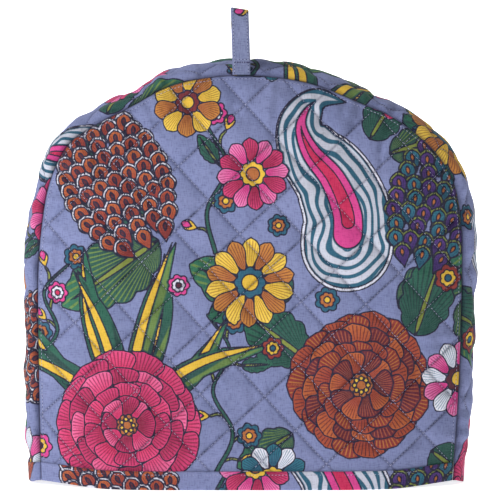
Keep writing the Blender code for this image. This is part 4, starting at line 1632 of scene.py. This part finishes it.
def quilting_lines(low, high, origin, turn, keep):
    """All stretches of the two sets of quilting lines over a flat rectangle."""
    reach = math.dist(low, high)
    count = math.ceil(reach / QUILT_PITCH)
    run = np.arange(-reach, reach, TRACE_STEP)
    cosine, sine = math.cos(turn), math.sin(turn)
    found = []
    for line in range(-count, count + 1):
        fixed = np.full(len(run), line * QUILT_PITCH)
        for across, up in ((fixed, run), (run, fixed)):
            flat = np.stack([origin[0] + across * cosine - up * sine,
                             origin[1] + across * sine + up * cosine], axis=1)
            inside = ((flat > low) & (flat < high)).all(axis=1)
            if inside.any():
                kept = inside.copy()
                kept[inside] = keep(flat[inside])
                found += runs_of(flat, kept)
    return found


print("sewn lines are traced every", round(TRACE_STEP / MM), "mm")

# %% [markdown]
# The thread is pale cotton with a fine twist. The dimple that the needle leaves is dark and matt: painted
# shade in the hole.

# %% Thread and needle hole
def flecked(name, scale, dark, pale, roughness, depth, sheen):
    """A matt material whose colour, roughness and height follow a fine noise."""
    made, sheet = new_material(name)
    fleck = sheet.noise(sheet.node("ShaderNodeTexCoord").outputs["Object"], scale, 1.0)
    base = sheet.blend(fleck, colour(dark), colour(pale))
    finish_cloth(sheet, base, sheet.ramp(fleck, *roughness), fleck, depth, sheen)
    return made


thread = flecked("thread_lilac", 2600.0, "#8C8FB0", "#BEC0D6", (0.2, 0.8, 0.55, 0.75), 0.03 * MM, 0.1)
# Painted shade: the needle holes are dark dimples that stand for the shade in each hole.
needle_hole = flecked("needle_hole_painted_shade", 1800.0, "#2A284A", "#434168", (0.0, 1.0, 0.9, 1.0),
                      0.02 * MM, 0.0)
print("sewing:", thread.name, needle_hole.name)

# %% [markdown]
# The stitch tree has named inputs for its sizes, and a fixed seed for the slight unevenness of the sewing.
# Both shapes are tiny spheres of a few faces, squeezed to a grain and to a dimple.

# %% Build the stitch tree
def stitch_part(sheet, segments, rings, scale, shift, is_hole):
    """A squeezed and shifted ball, marked as thread or as needle hole."""
    ball = sheet.node("GeometryNodeMeshUVSphere", {}, {
        "Segments": segments, "Rings": rings, "Radius": 1.0})
    size = sheet.node("ShaderNodeCombineXYZ", {}, dict(enumerate(scale)))
    move = sheet.node("ShaderNodeCombineXYZ", {}, dict(enumerate(shift)))
    placed = sheet.node("GeometryNodeTransform", {}, {
        "Geometry": ball.outputs["Mesh"], "Translation": move.outputs[0], "Scale": size.outputs[0]})
    marked = sheet.node("GeometryNodeStoreNamedAttribute", {"data_type": "BOOLEAN", "domain": "FACE"}, {
        "Geometry": placed.outputs[0], "Name": "needle_hole", "Value": is_hole})
    return marked.outputs[0]


def stitch_tree(thread, needle_hole):
    """A node group that sews along the edges of a mesh."""
    group = bpy.data.node_groups.new("stitches", "GeometryNodeTree")
    face = group.interface
    face.new_socket("Geometry", in_out="INPUT", socket_type="NodeSocketGeometry")
    for label in ("Stitch pitch", "Stitch length", "Thread radius", "Hole radius"):
        face.new_socket(label, in_out="INPUT", socket_type="NodeSocketFloat")
    face.new_socket("Seed", in_out="INPUT", socket_type="NodeSocketInt")
    face.new_socket("Geometry", in_out="OUTPUT", socket_type="NodeSocketGeometry")
    sheet = Sheet(group)
    given = sheet.node("NodeGroupInput").outputs
    pitch, length, radius = (Value(sheet, given[label])
                             for label in ("Stitch pitch", "Stitch length", "Thread radius"))
    hole = Value(sheet, given["Hole radius"])
    thread_grain = stitch_part(sheet, 6, 5, (length * 0.5, radius * 1.15, radius),
                               (0.0, 0.0, radius * 0.35), False)
    dimple = stitch_part(sheet, 6, 3, (hole * 1.4, hole * 0.8, hole * 0.4),
                         (pitch * 0.5, 0.0, hole * 0.12), True)
    both = sheet.node("GeometryNodeJoinGeometry")
    for part in (thread_grain, dimple):
        sheet.tree.links.new(part, both.inputs[0])
    curve = sheet.node("GeometryNodeMeshToCurve", {}, {"Mesh": given["Geometry"]})
    cut = sheet.node("GeometryNodeResampleCurve", {"mode": "LENGTH"}, {
        "Curve": curve.outputs[0], "Length": pitch})
    normal = sheet.node("GeometryNodeInputNamedAttribute", {"data_type": "FLOAT_VECTOR"}, {
        "Name": "facing"})
    tangent = sheet.node("GeometryNodeInputTangent")
    aim = sheet.node("FunctionNodeAxesToRotation", {"primary_axis": "Z", "secondary_axis": "X"}, {
        0: normal.outputs[0], 1: tangent.outputs[0]})
    uneven = sheet.node("FunctionNodeRandomValue", {"data_type": "FLOAT_VECTOR"}, {
        0: (0.82, 0.85, 0.85), 1: (1.08, 1.15, 1.15), "Seed": given["Seed"]})
    sewn = sheet.node("GeometryNodeInstanceOnPoints", {}, {
        "Points": cut.outputs[0], "Instance": both.outputs[0], "Rotation": aim.outputs[0],
        "Scale": uneven.outputs[0]})
    real = sheet.node("GeometryNodeRealizeInstances", {}, {"Geometry": sewn.outputs[0]})
    smooth = sheet.node("GeometryNodeSetShadeSmooth", {}, {"Geometry": real.outputs[0]})
    chosen = sheet.node("GeometryNodeInputNamedAttribute", {"data_type": "BOOLEAN"}, {
        "Name": "needle_hole"})
    threaded = sheet.node("GeometryNodeSetMaterial", {}, {
        "Geometry": smooth.outputs[0], "Material": thread})
    pierced = sheet.node("GeometryNodeSetMaterial", {}, {
        "Geometry": threaded.outputs[0], "Selection": chosen.outputs[0], "Material": needle_hole})
    sheet.node("NodeGroupOutput", {}, {0: pierced.outputs[0]})
    return group


stitches = stitch_tree(thread, needle_hole)
print("stitch tree:", len(stitches.nodes), "nodes")

# %% [markdown]
# The tree's inputs are set by their identifiers before the object is first evaluated. The evaluated result
# is then kept as a plain mesh, and the traced lines and the modifier are thrown away.

# %% Sew along traced lines
SEWN = []


def sew(name, lines, pitch, length, radius=0.20 * MM, hole_radius=0.33 * MM, seed=1):
    """Stitches along lines. A line is a pair: places on the cloth and the cloth's facing there."""
    places, facings, edges = [], [], []
    for line, directions in lines:
        first = sum(len(part) for part in places)
        edges += [(first + step, first + step + 1) for step in range(len(line) - 1)]
        places.append(line)
        facings.append(directions)
    mesh = bpy.data.meshes.new(name + "_lines")
    mesh.from_pydata(np.vstack(places).tolist(), edges, [])
    layer = mesh.attributes.new("facing", "FLOAT_VECTOR", "POINT")
    layer.data.foreach_set("vector", np.vstack(facings).ravel())
    carrier = bpy.data.objects.new(name + "_lines", mesh)
    bpy.context.scene.collection.objects.link(carrier)
    modifier = carrier.modifiers.new("stitches", "NODES")
    modifier.node_group = stitches
    given = {"Stitch pitch": pitch, "Stitch length": length, "Thread radius": radius,
             "Hole radius": hole_radius, "Seed": seed}
    for socket in stitches.interface.items_tree:
        if socket.in_out == "INPUT" and socket.name in given:
            modifier[socket.identifier] = given[socket.name]
    bpy.context.view_layer.update()
    result = carrier.evaluated_get(bpy.context.evaluated_depsgraph_get())
    piece = bpy.data.objects.new(name, bpy.data.meshes.new_from_object(result))
    piece.data.name = name
    bpy.context.scene.collection.objects.link(piece)
    bpy.data.objects.remove(carrier, do_unlink=True)
    SEWN.append(piece)
    print(name, "-", round(sum(along(line)[-1] for line, _ in lines) / pitch), "stitches,",
          triangle_count(piece), "triangles")


print("a traced line of 100 mm has", len(np.arange(0, 100 * MM, TRACE_STEP)), "points")

# %% [markdown]
# ## Sewing the cosy
# The quilting is sewn first, in lines that cross at about 45 degrees and stop at the seams and above the
# bindings. A line of top-stitching runs just inside each seam, another holds each binding down near its
# folded edge, and the loop is sewn along both edges and across its root.

# %% Surfaces to sew on
# Each function gives the places on an outer face for flat points.
def panel_surface(side, quilting, creases):
    def surface(flat):
        outer, _ = panel_depth(flat, quilting, creases)
        return columns(flat[:, 0], side * outer, flat[:, 1])
    return surface


def gusset_surface(flat):
    return gusset_place(flat[:, 0], flat[:, 1], gusset_grow(flat)[0])


def binding_surface(side, quilting, creases):
    def surface(flat):
        level = np.clip(flat[:, 1], 0.0, BINDING_HEIGHT)
        z = HEM_EDGE + hem_lift(flat[:, 0]) + level
        outer, _ = panel_depth(columns(flat[:, 0], z), quilting, creases)
        return columns(flat[:, 0], side * (outer + GAP + BINDING_WALL), z)
    return surface


def loop_surface(flat):
    return loop_place(flat[:, 0], flat[:, 1], np.full(len(flat), LOOP_STRIP / 2))


def traced(surface, flats, sign):
    """Places and facings along flat lines; the sign turns the facing outward."""
    return [(surface(flat), sign * facing(surface, flat)) for flat in flats]


print("surfaces: panel, gusset, binding, loop")

# %% [markdown]
# One loop sews the front and the back. Only the stretches of quilting on free cloth are kept. Each kind of
# stitch is a pair: its pitch and its length.

# %% Sew both panels
QUILT_STITCH = (2.8 * MM, 1.9 * MM)
SEAM_STITCH = (2.7 * MM, 1.8 * MM)
FINE_STITCH = (2.4 * MM, 1.6 * MM)
TOPSTITCH_INSET = 2.5 * MM
BINDING_STITCH_SHARE = 0.80
arch_line, _ = hem_line(10)
panel_low, panel_high = arch_line.min(axis=0), arch_line.max(axis=0)


def on_panel(flat):
    """Which flat points lie on a panel's free cloth."""
    from_seam, _ = seam.nearest(flat)
    top = HEM_EDGE + hem_lift(flat[:, 0]) + BINDING_HEIGHT + 2 * BINDING_MARGIN
    return (from_seam > 2 * TOPSTITCH_INSET) & (flat[:, 1] > top) & inside_arch(flat, arch_line, 0.0)


for label, side, quilting, creases in (("front", -1, FRONT_QUILTING, FRONT_CREASES),
                                       ("back", 1, BACK_QUILTING, BACK_CREASES)):
    surface = panel_surface(side, quilting, creases)
    lines = quilting_lines(panel_low, panel_high, quilting[0], quilting[1], on_panel)
    sew("quilting_" + label, traced(surface, lines, -side), *QUILT_STITCH, seed=3)
    above = seam.line[:, 1] > HEM_EDGE + BINDING_HEIGHT + 2 * BINDING_MARGIN
    inset = (seam.line - TOPSTITCH_INSET * seam.outward)[above]
    sew("topstitch_" + label, traced(surface, [inset], -side), *SEAM_STITCH, seed=5)
    hem_x = np.arange(seam.edge_x(-1, 0.0) + 2 * MM, seam.edge_x(1, 0.0) - 2 * MM, TRACE_STEP)
    hem_flat = columns(hem_x, np.full(len(hem_x), BINDING_STITCH_SHARE * BINDING_HEIGHT))
    sew("hemstitch_" + label, traced(binding_surface(side, quilting, creases), [hem_flat], -side),
        *FINE_STITCH, seed=7)
print("sewn on the panels:", len(SEWN), "lots of stitches")

# %% [markdown]
# The band's quilting stops short of the loop, which is sewn along both edges and twice across its root, in
# finer thread.

# %% Sew the gusset and the loop
LOOP_STITCH_INSET = 1.5 * MM
LOOP_ROOT_STITCHING = (9.0 * MM, 11.2 * MM)
ROOT_STITCH = (1.5 * MM, 1.0 * MM)
ROOT_POINTS = 14


def on_gusset(flat):
    """Which flat points lie on the gusset's free cloth."""
    from_seam = np.minimum(flat[:, 1], band_width - flat[:, 1])
    from_end = np.minimum(flat[:, 0], seam.length - flat[:, 0])
    near_loop = np.hypot(flat[:, 0] - crown, flat[:, 1])
    return (from_seam > 2 * TOPSTITCH_INSET) & (from_end > BINDING_HEIGHT + 2 * BINDING_MARGIN) & (
        near_loop > LOOP_CLEARING)


band_lines = quilting_lines((0.0, 0.0), (seam.length, band_width), *GUSSET_QUILTING[:2], on_gusset)
sew("quilting_gusset", traced(gusset_surface, band_lines, -1), *QUILT_STITCH, seed=9)
loop_edge = LOOP_WIDTH / 2 - LOOP_STITCH_INSET
loop_free = loop_run[(loop_run > 2 * MM) & (loop_run < loop_run[-1] - 2 * MM)]
loop_lines = [columns(loop_free, np.full(len(loop_free), edge))
              for edge in (-loop_edge, loop_edge)]
across = np.linspace(-loop_edge, loop_edge, ROOT_POINTS)
root_lines = [columns(np.full(ROOT_POINTS, loop_run[-1] - height), across)
              for height in LOOP_ROOT_STITCHING]
sew("loopstitch", traced(loop_surface, loop_lines + root_lines[1:], 1), *FINE_STITCH, radius=0.16 * MM,
    hole_radius=0.36 * MM, seed=11)
# These larger needle holes also paint a darker line of shade across the loop's root.
sew("loopstitch_root", traced(loop_surface, root_lines[:1], 1), *ROOT_STITCH, radius=0.14 * MM,
    hole_radius=0.55 * MM, seed=13)
for piece in SEWN:
    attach(piece, "root")
print("sewn in all:", len(SEWN), "lots of stitches")

# %% [markdown]
# Each piece rides on the cosy's one body and stands for the solid that it dresses, so that solid isn't
# shown.

# %% Ride and replace
for node, piece in PIECES.items():
    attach(piece, "root")
    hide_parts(node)
print("declared:", ", ".join(piece.name for piece in PIECES.values()))

# %% [markdown]
# ## Floor, light and camera
# The photograph was taken in soft white studio light against white. A pale floor that curves up far behind
# the cosy gives that background. It glows a little, so that it stays white where the lights don't reach.

# %% Make the floor
FLOOR_HALF = 6.0
COVE_START = 2.3
COVE_RADIUS = 0.8
COVE_HEIGHT = 2.6
NEAR_GLOW = 0.76
FAR_GLOW = 0.95
GLOW_CHANGE = (0.6, 1.6)


def make_floor():
    """A pale floor that curves up into a backdrop and glows a little, more so far behind the cosy."""
    bend = np.linspace(0.0, math.pi / 2, 17)
    depth = np.concatenate([[-FLOOR_HALF], COVE_START + COVE_RADIUS * np.sin(bend),
                            [COVE_START + COVE_RADIUS]])
    height = np.concatenate([[0.0], COVE_RADIUS * (1.0 - np.cos(bend)), [COVE_HEIGHT]])
    places = [(x, y, z) for y, z in zip(depth, height) for x in (-FLOOR_HALF, FLOOR_HALF)]
    faces = [(2 * row, 2 * row + 1, 2 * row + 3, 2 * row + 2) for row in range(len(depth) - 1)]
    floor = mesh_piece("studio_floor", np.array(places), faces)
    made, sheet = new_material("studio_paper")
    coordinates = sheet.node("ShaderNodeTexCoord").outputs["Object"]
    grain = sheet.noise(coordinates, 60.0, 3.0)
    paper = sheet.blend(grain, colour("#F4F4F5"), colour("#FAFAFA"))
    depth = sheet.node("ShaderNodeSeparateXYZ", {}, {0: coordinates}).outputs[1]
    glow = sheet.blend(sheet.ramp(depth, *GLOW_CHANGE), colour("#FFFFFF", NEAR_GLOW),
                       colour("#FFFFFF", FAR_GLOW))
    shader = sheet.node("ShaderNodeBsdfPrincipled", {}, {"Base Color": paper, "Emission Color": glow})
    shader.inputs["Roughness"].default_value = 0.9
    shader.inputs["Emission Strength"].default_value = 1.0
    sheet.node("ShaderNodeOutputMaterial", {}, {"Surface": shader.outputs[0]})
    floor.data.materials.append(made)


make_floor()
print("floor:", round(2 * FLOOR_HALF), "m wide")

# %% [markdown]
# The main light is large and soft, at the left, in front and above. A very weak one stands in front, and
# one above and behind. The world is white to the camera, but it fills the shadows only a little.

# %% Set the lights
WORLD_FILL = 0.15


def soft_light(name, place, size, power, aim=(0.0, 0.0, 0.15)):
    """A square area light that faces the cosy."""
    lamp = bpy.data.lights.new(name, "AREA")
    lamp.shape, lamp.size, lamp.energy = "SQUARE", size, power
    holder = bpy.data.objects.new(name, lamp)
    holder.location = place
    holder.rotation_euler = (Vector(aim) - Vector(place)).to_track_quat("-Z", "Y").to_euler()
    bpy.context.scene.collection.objects.link(holder)


soft_light("light_key", (-2.5, -2.0, 2.15), 1.3, 92)
soft_light("light_front", (0.3, -2.6, 0.9), 1.4, 4)
soft_light("light_back", (0.5, 1.3, 2.2), 1.4, 14)
world = bpy.data.worlds.new("studio")
world.use_nodes = True
air = Sheet(world.node_tree)
fill, backdrop = (air.node("ShaderNodeBackground", {}, {"Color": colour("#FFFFFF"), "Strength": strength})
                  for strength in (WORLD_FILL, 1.0))
seen = air.node("ShaderNodeLightPath").outputs["Is Camera Ray"]
both = air.node("ShaderNodeMixShader", {}, {0: seen, 1: fill.outputs[0], 2: backdrop.outputs[0]})
air.node("ShaderNodeOutputWorld", {}, {"Surface": both.outputs[0]})
bpy.context.scene.world = world
bpy.context.scene.view_settings.view_transform = "Standard"

# %% [markdown]
# The camera stands two metres in front and looks slightly down. Its lens follows from the width that it
# frames at the cosy.

# %% Place the camera
VIEW_FRAME = 362.5 * MM
VIEW_DISTANCE = 2.0
VIEW_HEIGHT = 270 * MM
AIM_HEIGHT = 165.0 * MM
SENSOR = 36.0
camera = bpy.data.objects.new("camera", bpy.data.cameras.new("camera"))
camera.data.sensor_width = SENSOR
camera.data.lens = SENSOR * VIEW_DISTANCE / VIEW_FRAME
camera.location = (0.0, -VIEW_DISTANCE, VIEW_HEIGHT)
gaze = Vector((0.0, 0.0, AIM_HEIGHT)) - camera.location
camera.rotation_euler = gaze.to_track_quat("-Z", "Y").to_euler()
bpy.context.scene.collection.objects.link(camera)
bpy.context.scene.camera = camera
print("camera:", round(camera.data.lens, 1), "mm lens at", tuple(round(v, 2) for v in camera.location))

# %% [markdown]
# ## Finish
# The view layer is brought up to date.

# %% Update the view layer
bpy.context.view_layer.update()
